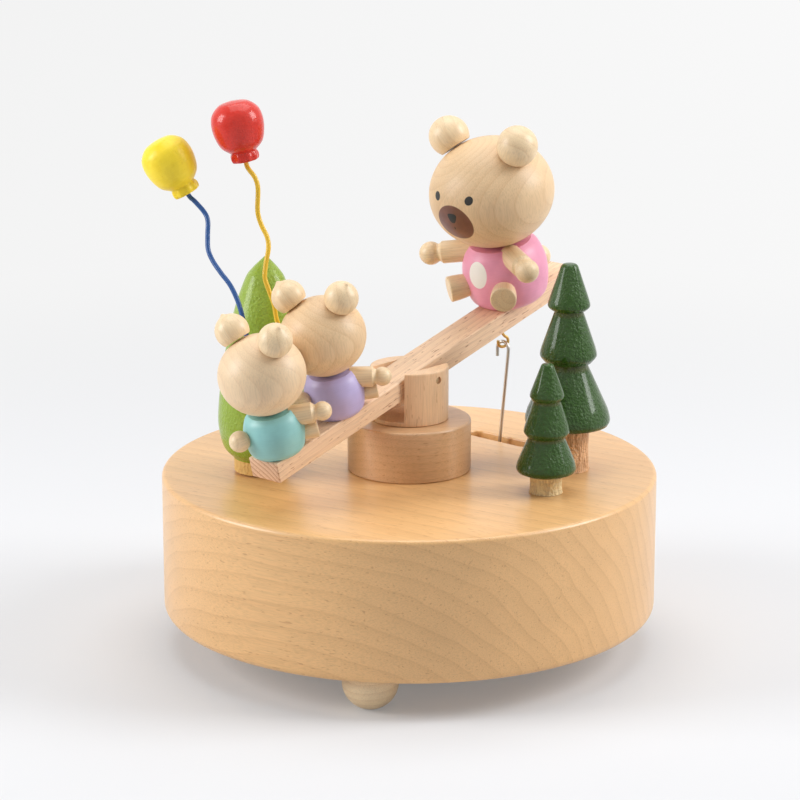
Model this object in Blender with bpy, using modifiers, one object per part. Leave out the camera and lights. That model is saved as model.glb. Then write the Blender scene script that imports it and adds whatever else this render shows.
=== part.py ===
"""Wooden music box: three turned bears ride a seesaw on a round drum, and a spring
movement inside the drum rocks it through a crank and a wire rod.

World frame: +Z up, origin on the floor under the drum's centre, +X along the plank
towards its high end, +Y across the plank. Blender works in metres.
"""

import math
from types import SimpleNamespace

import bmesh
import bpy
from mathutils import Matrix, Vector

MM = 0.001

# Clearances
SEAT_GAP = 0.3 * MM
RUNNING_GAP = 0.3 * MM

# Drum, cover and feet
BASE_RADIUS = 57.5 * MM
BASE_HEIGHT = 33.0 * MM
BASE_TOP_EDGE = 1.0 * MM
BASE_BOTTOM_EDGE = 2.0 * MM
TOP_THICKNESS = 6.5 * MM
COVER_LEDGE = 4.5 * MM
COVER_THICKNESS = 3.0 * MM
FLOOR_GAP = 8.5 * MM
FOOT_RADIUS = 6.35 * MM
FOOT_FLAT = 0.2 * MM
FOOT_RIM_SHARE = 0.42
FOOT_ANGLE = math.radians(211.6)
FOOT_DOWEL_RADIUS = 2.0 * MM
FOOT_DOWEL_LENGTH = 5.7 * MM
FOOT_COUNT = 3
COVER_SCREW_COUNT = 3
COVER_SCREW_ANGLE = math.radians(271.6)

# Wood screws
SCREW_SHANK_RADIUS = 0.75 * MM
SCREW_HEAD_RADIUS = 1.5 * MM
SCREW_HEAD_HEIGHT = 1.1 * MM
SCREW_SLOT_WIDTH = 0.5 * MM
SCREW_SLOT_DEPTH = 0.5 * MM
COVER_SCREW_LENGTH = 9.0 * MM
MOVEMENT_SCREW_LENGTH = 6.5 * MM

# Pedestal, post, pin and plank
PEDESTAL_RADIUS = 14.35 * MM
PEDESTAL_HEIGHT = 12.0 * MM
PEDESTAL_EDGE = 0.5 * MM
POST_RADIUS = 9.1 * MM
POST_HEIGHT = 12.6 * MM
POST_EDGE = 0.4 * MM
POST_SLOT_WIDTH = 10.4 * MM
POST_SLOT_FLOOR = 0.8 * MM
PIVOT_HEIGHT = 22.4 * MM
PIVOT_PIN_RADIUS = 0.7 * MM
PIVOT_PIN_INSET = 0.3 * MM
PLANK_LOW_END = 49.7 * MM
PLANK_HIGH_END = 58.0 * MM
PLANK_WIDTH = 8.6 * MM
PLANK_THICKNESS = 4.8 * MM
PLANK_EDGE = 0.25 * MM
PLANK_TILT = math.radians(15.0)

# Screw eye, rod, slot and crank
EYE_REACH = 32.9 * MM
EYE_DROP = 4.7 * MM
EYE_RING_RADIUS = 1.35 * MM
EYE_WIRE_RADIUS = 0.35 * MM
EYE_TURN = math.radians(23.0)
EYE_START = 60
EYE_SWEEP = 270
EYE_SHANK_DEPTH = 3.0 * MM
ROD_WIRE_RADIUS = 0.4 * MM
ROD_LOOP_RADIUS = 1.6 * MM
ROD_LOOP_SWEEP = math.radians(270.0)
ROD_HOOK_RADIUS = 1.7 * MM
ROD_HOOK_TAIL = 2.2 * MM
ROD_WALL_ROOM = 3.0 * MM
SLOT_WIDTH = 4.4 * MM
SLOT_HALF_LENGTH = 9.5 * MM
SLOT_SHIFT = 0.3 * MM
CRANK_RADIUS = 7.0 * MM
CRANK_ANGLE = math.radians(30.9)
CRANK_DISC_RADIUS = 8.6 * MM
CRANK_DISC_THICKNESS = 1.4 * MM
CRANK_PIN_RADIUS = 0.9 * MM
CRANK_PIN_LENGTH = 1.3 * MM
CRANK_PIN_CLEARANCE = 1.0 * MM

# Movement
MOVEMENT_PLATE = 1.5 * MM
PLATE_LEFT = -26.0 * MM
PLATE_RIGHT = 26.0 * MM
PLATE_FRONT = -20.0 * MM
PLATE_BACK = 24.0 * MM
ARBOR_HEIGHT = 10.2 * MM
ARBOR_RADIUS = 1.0 * MM
BEARING_WALL = 1.4 * MM
BORE_REACH = 40.0 * MM
MOVEMENT_SCREW_PLACES = ((-22.0 * MM, -16.0 * MM), (22.0 * MM, 18.0 * MM))
LEFT_BEARING_GAP = 0.7 * MM
LEFT_BEARING_WALL = 1.2 * MM
CYLINDER_BEARING_REACH = 3.0 * MM
GOVERNOR_ARBOR_LEAD = 2.6 * MM
GOVERNOR_BORE_LEAD = 5.0 * MM
GOVERNOR_BEARING_FRONT = 2.0 * MM
GOVERNOR_BEARING_BACK = 1.8 * MM
GOVERNOR_BEARING_RISE = 2.0 * MM
RIGHT_BEARING_GAP = 2.5 * MM
RIGHT_BEARING_RISE = 5.6 * MM
FAN_OFFSET = 1.1 * MM
FAN_ARM_LOW = 4.0 * MM
FAN_BRACKET_REACH = 1.8 * MM
FAN_BRACKET_HALF_WIDTH = 2.2 * MM
FAN_BRACKET_LOW = 4.2 * MM
FAN_BRACKET_HIGH = 5.5 * MM
CYLINDER_RADIUS = 6.5 * MM
CYLINDER_LENGTH = 18.0 * MM
PIN_HEIGHT = 0.5 * MM
PIN_WIDTH = 0.45 * MM
PINS_PER_TRACK = 2
PIN_STEPS = 12
COMB_TEETH = 18
COMB_TOOTH_FILL = 0.7
COMB_TOOTH_LENGTH = 8.5 * MM
COMB_ROOT_DEPTH = 8.0 * MM
COMB_THICKNESS = 0.8 * MM
COMB_STUD_RADIUS = 1.2 * MM
COMB_STUD_RISE = 2.4 * MM
COMB_STUD_SHARES = (0.18, 0.82)
COMB_LEDGE_MARGIN = 0.5 * MM
BARREL_RADIUS = 10.6 * MM
BARREL_WALL = 0.8 * MM
BARREL_HEIGHT = 15.5 * MM
BARREL_REACH = 16.0 * MM
CROWN_TEETH = 36
CROWN_PITCH_RADIUS = 12.4 * MM
CROWN_FACE = 2.0 * MM
CROWN_FLANGE = 3.0 * MM
CROWN_RIM = 0.1 * MM
CROWN_ROOT_DROP = 0.7 * MM
CROWN_TIP_RISE = 0.5 * MM
CROWN_TOOTH_SINK = 0.5 * MM
CROWN_TIP_FILL = 0.26
CROWN_ROOT_FILL = 0.48
PINION_TEETH = 12
GEAR_GAP = 1.2 * MM
GEAR_WIDTH = 1.5 * MM
GEAR_MODULE = 0.4 * MM
CYLINDER_GEAR_TEETH = 36
GOVERNOR_PINION_TEETH = 12
WORM_WHEEL_TEETH = 24
WORM_WHEEL_RADIUS = 5.0 * MM
WORM_WHEEL_WIDTH = 0.9 * MM
WORM_STARTS = 2
WORM_RADIUS = 1.5 * MM
WORM_LENGTH = 6.6 * MM
WORM_THREAD_ROOT = 0.6 * MM
WORM_THREAD_TIP = 0.3 * MM
WORM_THREAD_FLANK = 0.2
WORM_THREAD_FOOT = 0.32
WORM_END_STEP = 0.05 * MM
GOVERNOR_ARBOR_RADIUS = 0.7 * MM
FAN_SHAFT_RADIUS = 0.5 * MM
FAN_SHAFT_FOOT = 0.4 * MM
FAN_SHAFT_TIP = 0.2 * MM
FAN_BLADE_GAP = 0.8 * MM
FAN_SPAN = 5.0 * MM
FAN_HEIGHT = 3.6 * MM
FAN_BLADE = 0.5 * MM
WINDING_ARBOR_RADIUS = 2.0 * MM
WINDING_JOURNAL_RADIUS = 1.5 * MM
WINDING_TOP_REACH = 0.6 * MM
WINDING_SHOULDER_GAP = 0.5 * MM
WINDING_LOW_REACH = 4.0 * MM
SPRING_END_GAP = 0.6 * MM
SPRING_TURNS = 4
SPRING_THICKNESS = 0.3 * MM
KEY_STEM_RADIUS = 3.6 * MM
KEY_STEM_EDGE = 1.0 * MM
KEY_WING_SPAN = 11.0 * MM
KEY_WING_HEIGHT = 5.5 * MM
KEY_WING_THICKNESS = 1.6 * MM
KEY_FLOOR_GAP = 1.5 * MM
TOOTH_SHAPES = {
    "barrel_pinion": SimpleNamespace(
        addendum=0.6 * MM, dedendum=0.7 * MM, tip_fill=0.24, root_fill=0.5),
    "governor_gear": SimpleNamespace(
        addendum=0.34 * MM, dedendum=0.44 * MM, tip_fill=0.22, root_fill=0.56),
    "governor_pinion": SimpleNamespace(
        addendum=0.34 * MM, dedendum=0.44 * MM, tip_fill=0.22, root_fill=0.5),
    "worm_wheel": SimpleNamespace(
        addendum=0.4 * MM, dedendum=0.6 * MM, tip_fill=0.24, root_fill=0.5),
}

# Places worked out from the sizes above
BASE_BOTTOM = FLOOR_GAP
BASE_TOP = BASE_BOTTOM + BASE_HEIGHT
CEILING = BASE_TOP - TOP_THICKNESS
COVER_TOP = BASE_BOTTOM + COVER_THICKNESS
PEDESTAL_TOP = BASE_TOP + PEDESTAL_HEIGHT
POST_BOTTOM = PEDESTAL_TOP + SEAT_GAP
PIVOT = Vector((0.0, 0.0, BASE_TOP + PIVOT_HEIGHT))
SEESAW_FRAME = Matrix.Translation(PIVOT) @ Matrix.Rotation(-PLANK_TILT, 4, "Y")
PLATE_BOTTOM = COVER_TOP + SEAT_GAP
PLATE_TOP = PLATE_BOTTOM + MOVEMENT_PLATE
AXIS_Z = PLATE_TOP + ARBOR_HEIGHT
EYE_CENTRE = SEESAW_FRAME @ Vector((EYE_REACH, 0.0, -PLANK_THICKNESS / 2 - EYE_DROP))
ROD_X = EYE_CENTRE.x
POCKET_RADIUS = ROD_X + ROD_WIRE_RADIUS + ROD_WALL_ROOM
COVER_RADIUS = POCKET_RADIUS + COVER_LEDGE
FOOT_PITCH_RADIUS = COVER_RADIUS + FOOT_RIM_SHARE * (BASE_RADIUS - COVER_RADIUS)

BEAR_SIZES = {
    "big": SimpleNamespace(
        head_radius=14.8 * MM, head_half_height=12.9 * MM, head_centre=27.5 * MM,
        body_radius=10.15 * MM, body_height=14.9 * MM, body_foot_radius=7.6 * MM,
        body_neck_radius=7.4 * MM, ear_radius=4.8 * MM, ear_cut=1.9 * MM,
        ear_angle=math.radians(36.5), arm_radius=2.7 * MM, arm_reach=17.2 * MM,
        hand_radius=2.8 * MM, arm_spread=math.radians(59.7), arm_height=13.1 * MM,
        leg_radius=3.1 * MM, leg_reach=14.3 * MM, leg_spread=math.radians(36.3),
        leg_height=5.8 * MM, tail_radius=2.9 * MM, tail_height=5.2 * MM,
        tail_spread=math.radians(180.0)),
    "small": SimpleNamespace(
        head_radius=9.8 * MM, head_half_height=9.0 * MM, head_centre=18.9 * MM,
        body_radius=6.8 * MM, body_height=9.9 * MM, body_foot_radius=5.4 * MM,
        body_neck_radius=4.9 * MM, ear_radius=3.85 * MM, ear_cut=1.6 * MM,
        ear_angle=math.radians(33.3), arm_radius=2.0 * MM, arm_reach=11.5 * MM,
        hand_radius=2.05 * MM, arm_spread=math.radians(49.0), arm_height=7.9 * MM,
        leg_radius=1.95 * MM, leg_reach=9.6 * MM, leg_spread=math.radians(38.0),
        leg_height=3.0 * MM, tail_radius=2.4 * MM, tail_height=5.6 * MM,
        tail_spread=math.radians(160.0)),
}
BIG_BEAR_REACH = 38.0 * MM
TEAL_BEAR_REACH = -44.4 * MM
LILAC_BEAR_REACH = -24.3 * MM
LILAC_ARM_DROP = math.radians(9.0)
LILAC_HEAD_TURN = math.radians(17.0)
LIMB_GROOVE = 0.3 * MM
LIMB_ROOT_SHARE = 0.6
HAND_ARC_END = -30
LEG_ARC_END = -62
TAIL_CUT = 0.4 * MM
NECK_ROOM = 1.4 * MM

# Trees: a pine's tiers are each a skirt's radius, its height and the height under it
PINE_SIZES = {
    "large_pine": SimpleNamespace(
        place=(23.9 * MM, -27.8 * MM), height=48.7 * MM, tip_radius=2.2 * MM, neck_share=0.68,
        trunk_radius=5.1 * MM,
        tiers=((4.9 * MM, 39.0 * MM, 37.6 * MM), (6.6 * MM, 27.4 * MM, 25.2 * MM),
               (9.9 * MM, 12.0 * MM, 9.8 * MM))),
    "small_pine": SimpleNamespace(
        place=(5.6 * MM, -36.5 * MM), height=30.0 * MM, tip_radius=1.6 * MM, neck_share=0.8,
        trunk_radius=3.7 * MM,
        tiers=((3.9 * MM, 22.6 * MM, 21.4 * MM), (5.2 * MM, 14.4 * MM, 13.0 * MM),
               (6.8 * MM, 5.8 * MM, 4.0 * MM))),
}
LEAF_TREE_PLACE = (-25.2 * MM, 23.7 * MM)
LEAF_TREE_LEAN = math.radians(2.0)
LEAF_TREE_LEAN_AXIS = (0.75, 0.67, 0.0)
LEAF_TRUNK_RADIUS = 6.2 * MM
LEAF_TREE_KNOTS = (
    (0.4 * MM, 50.6 * MM), (3.1 * MM, 47.8 * MM), (4.8 * MM, 45.0 * MM), (7.2 * MM, 37.0 * MM),
    (9.3 * MM, 25.0 * MM), (10.1 * MM, 15.0 * MM), (9.9 * MM, 10.0 * MM), (8.6 * MM, 5.6 * MM),
    (6.4 * MM, 3.4 * MM))

# Balloons and their stiff wires, each wire's points counted from the hand that holds it
BALLOON_WIRE_RADIUS = 0.55 * MM
WIRE_HOLE_DEPTH = 1.6 * MM
BALLOON_HOLE_DEPTH = 3.0 * MM
YELLOW_BALLOON_RADIUS = 5.9 * MM
RED_BALLOON_RADIUS = 5.95 * MM
BALLOON_HEIGHT_SHARE = 1.97
BALLOON_KNOT_RADIUS = 3.1 * MM
BALLOON_KNOT_HEIGHT = 2.2 * MM
WIRE_LEAD_IN = 0.8 * MM
YELLOW_BALLOON_AXIS = (-2.45, 2.8, 6.6)
RED_BALLOON_AXIS = (-1.0, 1.2, 7.6)
BLUE_WIRE_POINTS = (
    (0.0, 0.0, 0.0), (-0.5, 0.8, 2.6), (-1.0, 2.0, 5.6), (-1.4, 4.0, 11.5), (-1.0, 5.8, 16.2),
    (-0.4, 8.0, 20.4), (-0.1, 10.8, 24.0), (-0.1, 13.8, 26.5), (0.1, 16.6, 28.9),
    (0.5, 18.4, 31.2), (1.5, 19.5, 34.1), (2.5, 20.4, 37.1), (2.8, 21.8, 38.9),
    (2.1, 24.1, 41.2), (1.7, 26.0, 42.9))
YELLOW_WIRE_POINTS = (
    (0.0, 0.0, 0.0), (-0.8, 0.6, 2.6), (-3.4, 2.4, 4.6), (-6.6, 4.2, 6.2), (-8.8, 5.4, 8.2),
    (-9.9, 6.1, 11.0), (-10.3, 6.6, 14.7), (-10.8, 7.8, 18.1), (-10.9, 8.8, 20.8),
    (-10.0, 9.2, 24.0), (-8.9, 9.5, 27.0), (-8.4, 10.4, 29.4), (-8.5, 12.1, 32.0),
    (-8.6, 13.1, 35.0), (-7.9, 13.6, 40.0), (-7.9, 14.5, 42.4), (-8.5, 15.8, 44.2),
    (-8.6, 16.7, 46.1))


def clear_scene():
    for item in list(bpy.data.objects):
        bpy.data.objects.remove(item, do_unlink=True)


def make_collection(name):
    group = bpy.data.collections.new(name)
    bpy.context.scene.collection.children.link(group)
    return group


def make_material(name, colour, roughness, metallic=0.0):
    """A Principled material with one colour, roughness and metallic value."""
    material = bpy.data.materials.new(name)
    material.use_nodes = True
    shader = material.node_tree.nodes["Principled BSDF"]
    shader.inputs["Base Color"].default_value = (*colour, 1.0)
    shader.inputs["Roughness"].default_value = roughness
    shader.inputs["Metallic"].default_value = metallic
    material.diffuse_color = (*colour, 1.0)
    return material


clear_scene()
PARTS = make_collection("music_box")
CUTTERS = make_collection("music_box_cutters")

FINISHES = {
    "beech": make_material("beech", (0.78, 0.58, 0.36), 0.45),
    "dark_beech": make_material("dark_beech", (0.60, 0.40, 0.25), 0.55),
    "maple": make_material("maple", (0.80, 0.64, 0.44), 0.45),
    "pink": make_material("pink", (0.86, 0.33, 0.52), 0.5),
    "teal": make_material("teal", (0.28, 0.62, 0.58), 0.5),
    "lilac": make_material("lilac", (0.55, 0.48, 0.80), 0.5),
    "pine_green": make_material("pine_green", (0.05, 0.20, 0.07), 0.3),
    "leaf_green": make_material("leaf_green", (0.33, 0.52, 0.12), 0.4),
    "yellow": make_material("yellow", (0.87, 0.65, 0.06), 0.25),
    "red": make_material("red", (0.72, 0.06, 0.05), 0.25),
    "blue": make_material("blue", (0.06, 0.15, 0.42), 0.35),
    "steel": make_material("steel", (0.55, 0.54, 0.52), 0.35, 1.0),
    "brass": make_material("brass", (0.78, 0.60, 0.28), 0.3, 1.0),
    "plywood": make_material("plywood", (0.72, 0.55, 0.36), 0.6),
}


def place(item, frame, parent=None):
    """Put an object at a world frame, and hang it from an empty if one is given."""
    item.matrix_world = frame
    if parent is not None:
        item.parent = parent
        item.matrix_parent_inverse = parent.matrix_world.inverted()
        item.matrix_world = frame
    return item


def add_object(name, mesh, material=None, frame=None, parent=None):
    item = bpy.data.objects.new(name, mesh)
    if material is None:
        CUTTERS.objects.link(item)
        item.hide_render = True
        item.display_type = "WIRE"
    else:
        PARTS.objects.link(item)
        mesh.materials.append(FINISHES[material])
    return place(item, frame if frame is not None else Matrix.Identity(4), parent)


def add_empty(name, frame, parent=None):
    empty = bpy.data.objects.new(name, None)
    PARTS.objects.link(empty)
    return place(empty, frame, parent)


def mesh_from(name, shape):
    mesh = bpy.data.meshes.new(name)
    shape.to_mesh(mesh)
    shape.free()
    return mesh


def arc(centre, radii, start, end, steps):
    """Points on an ellipse in the profile plane, from one angle to another in degrees."""
    points = []
    for step in range(steps + 1):
        angle = math.radians(start + (end - start) * step / steps)
        points.append((centre[0] + radii[0] * math.cos(angle),
                       centre[1] + radii[1] * math.sin(angle)))
    return points


def turned(name, profile, material=None, frame=None, parent=None, sides=16, closed=False):
    """A turned piece: a profile of radius and height, top to bottom, with a Screw modifier."""
    mesh = bpy.data.meshes.new(name)
    edges = [(index, index + 1) for index in range(len(profile) - 1)]
    if closed:
        edges.append((len(profile) - 1, 0))
    mesh.from_pydata([(radius, 0.0, height) for radius, height in profile], edges, [])
    item = add_object(name, mesh, material, frame, parent)
    screw = item.modifiers.new("turning", "SCREW")
    screw.axis = "Z"
    screw.angle = math.tau
    screw.steps = sides
    screw.render_steps = sides
    screw.use_merge_vertices = True
    screw.merge_threshold = 0.00001
    screw.use_smooth_shade = True
    return item


def block(name, low, high, material=None, frame=None, parent=None):
    """A box between two corners."""
    shape = bmesh.new()
    bmesh.ops.create_cube(shape, size=1.0)
    low, high = Vector(low), Vector(high)
    size = high - low
    centre = (high + low) / 2
    for vertex in shape.verts:
        vertex.co = Vector(a * b for a, b in zip(vertex.co, size)) + centre
    return add_object(name, mesh_from(name, shape), material, frame, parent)


def prism(name, outline, thickness, material=None, frame=None, parent=None):
    """A flat outline in XY, extruded up from z = 0."""
    shape = bmesh.new()
    lower = [shape.verts.new((x, y, 0.0)) for x, y in outline]
    face = shape.faces.new(lower)
    result = bmesh.ops.extrude_face_region(shape, geom=[face])
    for element in result["geom"]:
        if isinstance(element, bmesh.types.BMVert):
            element.co.z += thickness
    bmesh.ops.recalc_face_normals(shape, faces=shape.faces)
    return add_object(name, mesh_from(name, shape), material, frame, parent)


def along(start, end):
    """A frame at start whose +Z points to end."""
    start, end = Vector(start), Vector(end)
    turn = (end - start).to_track_quat("Z", "Y").to_matrix().to_4x4()
    return Matrix.Translation(start) @ turn


def bar(name, start, end, radius, material=None, parent=None, sides=16):
    """A plain round bar between two points."""
    length = (Vector(end) - Vector(start)).length
    shape = bmesh.new()
    bmesh.ops.create_cone(shape, cap_ends=True, segments=sides, radius1=radius,
                          radius2=radius, depth=length,
                          matrix=Matrix.Translation((0.0, 0.0, length / 2)))
    return add_object(name, mesh_from(name, shape), material, along(start, end), parent)


def combine(item, other, operation):
    """Cut or join with another object, which becomes a cutter or is used up."""
    boolean = item.modifiers.new(operation.lower(), "BOOLEAN")
    boolean.operation = operation
    boolean.object = other
    boolean.solver = "EXACT"
    return item


def cut(item, cutter):
    return combine(item, cutter, "DIFFERENCE")


def join(item, other):
    return combine(item, other, "UNION")


def wire(name, points, radius, material, parent=None):
    """A round wire through the given world points."""
    curve = bpy.data.curves.new(name, "CURVE")
    curve.dimensions = "3D"
    curve.bevel_depth = radius
    curve.bevel_resolution = 2
    curve.use_fill_caps = True
    spline = curve.splines.new("POLY")
    spline.points.add(len(points) - 1)
    for spline_point, point in zip(spline.points, points):
        spline_point.co = (*point, 1.0)
    item = bpy.data.objects.new(name, curve)
    PARTS.objects.link(item)
    curve.materials.append(FINISHES[material])
    return place(item, Matrix.Identity(4), parent)


def stadium(half_length, half_width, steps):
    """A slot outline that runs along Y with round ends."""
    straight = half_length - half_width
    upper = arc((0.0, straight), (half_width, half_width), 0, 180, steps)
    lower = arc((0.0, -straight), (half_width, half_width), 180, 360, steps)
    return upper + lower


def gear_outline(teeth, pitch_radius, shape):
    """Trapezoid teeth of the named shape round a wheel, the first tooth on +X."""
    form = TOOTH_SHAPES[shape]
    points = []
    pitch = math.tau / teeth
    tip, root = pitch_radius + form.addendum, pitch_radius - form.dedendum
    for tooth in range(teeth):
        middle = tooth * pitch
        corners = ((root, -form.root_fill), (tip, -form.tip_fill),
                   (tip, form.tip_fill), (root, form.root_fill))
        for radius, fill in corners:
            angle = middle + fill * pitch / 2
            points.append((radius * math.cos(angle), radius * math.sin(angle)))
    return points


def build_base():
    pocket_floor = COVER_TOP + SEAT_GAP
    rebate = COVER_RADIUS + SEAT_GAP
    profile = [(0.0, BASE_TOP)]
    profile += arc((BASE_RADIUS - BASE_TOP_EDGE, BASE_TOP - BASE_TOP_EDGE),
                   (BASE_TOP_EDGE, BASE_TOP_EDGE), 90, 0, 2)
    profile += arc((BASE_RADIUS - BASE_BOTTOM_EDGE, BASE_BOTTOM + BASE_BOTTOM_EDGE),
                   (BASE_BOTTOM_EDGE, BASE_BOTTOM_EDGE), 0, -90, 2)
    profile += [(rebate, BASE_BOTTOM), (rebate, pocket_floor),
                (POCKET_RADIUS, pocket_floor), (POCKET_RADIUS, CEILING), (0.0, CEILING)]
    drum = turned("base_drum", profile, "beech", sides=48)
    slot_frame = Matrix.Translation((ROD_X - SLOT_SHIFT, 0.0, CEILING - SEAT_GAP))
    slot = prism("rod_slot_cutter", stadium(SLOT_HALF_LENGTH, SLOT_WIDTH / 2, 8),
                 TOP_THICKNESS + 2 * SEAT_GAP, frame=slot_frame)
    cut(drum, slot)

    cover_profile = [(0.0, COVER_TOP), (COVER_RADIUS, COVER_TOP),
                     (COVER_RADIUS, BASE_BOTTOM), (0.0, BASE_BOTTOM)]
    cover = turned("bottom_cover", cover_profile, "plywood", sides=30)
    arbor_hole = bar("cover_arbor_cutter", (-BARREL_REACH, 0, BASE_BOTTOM - MM),
                     (-BARREL_REACH, 0, COVER_TOP + MM), WINDING_ARBOR_RADIUS + RUNNING_GAP)
    cut(cover, arbor_hole)

    screw_radius = (POCKET_RADIUS + COVER_RADIUS) / 2
    for index in range(COVER_SCREW_COUNT):
        angle = COVER_SCREW_ANGLE + index * math.tau / COVER_SCREW_COUNT
        spot = (screw_radius * math.cos(angle), screw_radius * math.sin(angle))
        name = f"cover_screw_{index + 1}"
        build_screw(name, spot, COVER_SCREW_LENGTH, (cover, drum))
    for index in range(FOOT_COUNT):
        angle = FOOT_ANGLE + index * math.tau / FOOT_COUNT
        build_foot(f"foot_{index + 1}", angle, drum)
    return drum, cover


def build_screw(name, spot, length, hosts):
    """A countersunk wood screw driven up from the drum's underside."""
    shank, head = SCREW_SHANK_RADIUS, SCREW_HEAD_RADIUS
    frame = Matrix.Translation((*spot, BASE_BOTTOM))
    profile = [(0.0, length), (shank, length - 2 * shank), (shank, SCREW_HEAD_HEIGHT),
               (head, 0.0), (0.0, 0.0)]
    screw = turned(name, profile, "steel", frame, sides=12)
    half_width, reach = SCREW_SLOT_WIDTH / 2, 2 * head
    slot = block(name + "_slot_cutter", (-reach, -half_width, -head),
                 (reach, half_width, SCREW_SLOT_DEPTH), frame=frame)
    cut(screw, slot)
    hole = shank + SEAT_GAP
    sink = head + SEAT_GAP
    bore = [(0.0, length + SEAT_GAP), (hole, length + SEAT_GAP), (hole, SCREW_HEAD_HEIGHT),
            (sink, 0.0), (sink, -head), (0.0, -head)]
    cutter = turned(name + "_bore_cutter", bore, frame=frame, sides=12)
    for host in hosts:
        cut(host, cutter)


def build_foot(name, angle, drum):
    """A turned ball with a flat on the floor and a dowel that goes into the drum."""
    spot = (FOOT_PITCH_RADIUS * math.cos(angle), FOOT_PITCH_RADIUS * math.sin(angle))
    centre = FOOT_RADIUS - FOOT_FLAT
    seat = BASE_BOTTOM - SEAT_GAP
    top = math.degrees(math.asin((seat - centre) / FOOT_RADIUS))
    bottom = -math.degrees(math.asin(centre / FOOT_RADIUS))
    dowel_top = BASE_BOTTOM + FOOT_DOWEL_LENGTH
    profile = [(0.0, dowel_top), (FOOT_DOWEL_RADIUS, dowel_top), (FOOT_DOWEL_RADIUS, seat)]
    profile += arc((0.0, centre), (FOOT_RADIUS, FOOT_RADIUS), top, bottom, 6)
    profile += [(0.0, 0.0)]
    frame = Matrix.Translation((*spot, 0.0))
    turned(name, profile, "maple", frame, sides=14)
    hole_radius = FOOT_DOWEL_RADIUS + SEAT_GAP
    hole = bar(name + "_dowel_cutter", (*spot, BASE_BOTTOM - MM),
               (*spot, dowel_top + SEAT_GAP), hole_radius, sides=12)
    cut(drum, hole)


def build_pedestal():
    edge = PEDESTAL_EDGE
    profile = [(0.0, PEDESTAL_TOP), (PEDESTAL_RADIUS - edge, PEDESTAL_TOP),
               (PEDESTAL_RADIUS, PEDESTAL_TOP - edge),
               (PEDESTAL_RADIUS, BASE_TOP + SEAT_GAP), (0.0, BASE_TOP + SEAT_GAP)]
    turned("pedestal_disc", profile, "dark_beech", sides=32)

    top = PEDESTAL_TOP + POST_HEIGHT
    profile = [(0.0, top), (POST_RADIUS - POST_EDGE, top), (POST_RADIUS, top - POST_EDGE),
               (POST_RADIUS, POST_BOTTOM), (0.0, POST_BOTTOM)]
    post = turned("fulcrum_post", profile, "dark_beech", sides=24)
    half_slot = POST_SLOT_WIDTH / 2
    slot = block("post_slot_cutter", (-2 * POST_RADIUS, -half_slot, POST_BOTTOM + POST_SLOT_FLOOR),
                 (2 * POST_RADIUS, half_slot, top + MM))
    cut(post, slot)
    hole_radius = PIVOT_PIN_RADIUS + RUNNING_GAP
    hole = bar("pivot_cutter", PIVOT - Vector((0, 2 * POST_RADIUS, 0)),
               PIVOT + Vector((0, 2 * POST_RADIUS, 0)), hole_radius, sides=16)
    cut(post, hole)
    reach = POST_RADIUS - PIVOT_PIN_INSET
    bar("pivot_pin", PIVOT - Vector((0, reach, 0)), PIVOT + Vector((0, reach, 0)),
        PIVOT_PIN_RADIUS, "steel", sides=12)
    return hole


def build_plank(seesaw, pivot_hole):
    half_width, half_thickness = PLANK_WIDTH / 2, PLANK_THICKNESS / 2
    plank = block("seesaw_plank", (-PLANK_LOW_END, -half_width, -half_thickness),
                  (PLANK_HIGH_END, half_width, half_thickness), "dark_beech",
                  SEESAW_FRAME, seesaw)
    bevel = plank.modifiers.new("eased_edges", "BEVEL")
    bevel.width = PLANK_EDGE
    bevel.segments = 1
    cut(plank, pivot_hole)
    bore_top = -half_thickness + EYE_SHANK_DEPTH + SEAT_GAP
    bore = bar("eye_bore_cutter", SEESAW_FRAME @ Vector((EYE_REACH, 0, -2 * half_thickness)),
               SEESAW_FRAME @ Vector((EYE_REACH, 0, bore_top)), EYE_WIRE_RADIUS + SEAT_GAP)
    cut(plank, bore)


def build_eye(seesaw):
    """A bent-wire screw eye: a ring under the plank and a shank up into it."""
    frame = (SEESAW_FRAME @ Matrix.Translation((EYE_REACH, 0, -PLANK_THICKNESS / 2 - EYE_DROP))
             @ Matrix.Rotation(-EYE_TURN, 4, "Z"))
    curl = arc((0.0, 0.0), (EYE_RING_RADIUS, EYE_RING_RADIUS),
               EYE_START, EYE_START - EYE_SWEEP, 12)
    ring = [(x, 0.0, z) for x, z in curl]
    shank_top = EYE_DROP + EYE_SHANK_DEPTH
    points = [(0.0, 0.0, shank_top), (0.0, 0.0, 1.7 * EYE_RING_RADIUS)] + ring
    wire("screw_eye", [frame @ Vector(point) for point in points], EYE_WIRE_RADIUS, "brass",
         seesaw)


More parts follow.
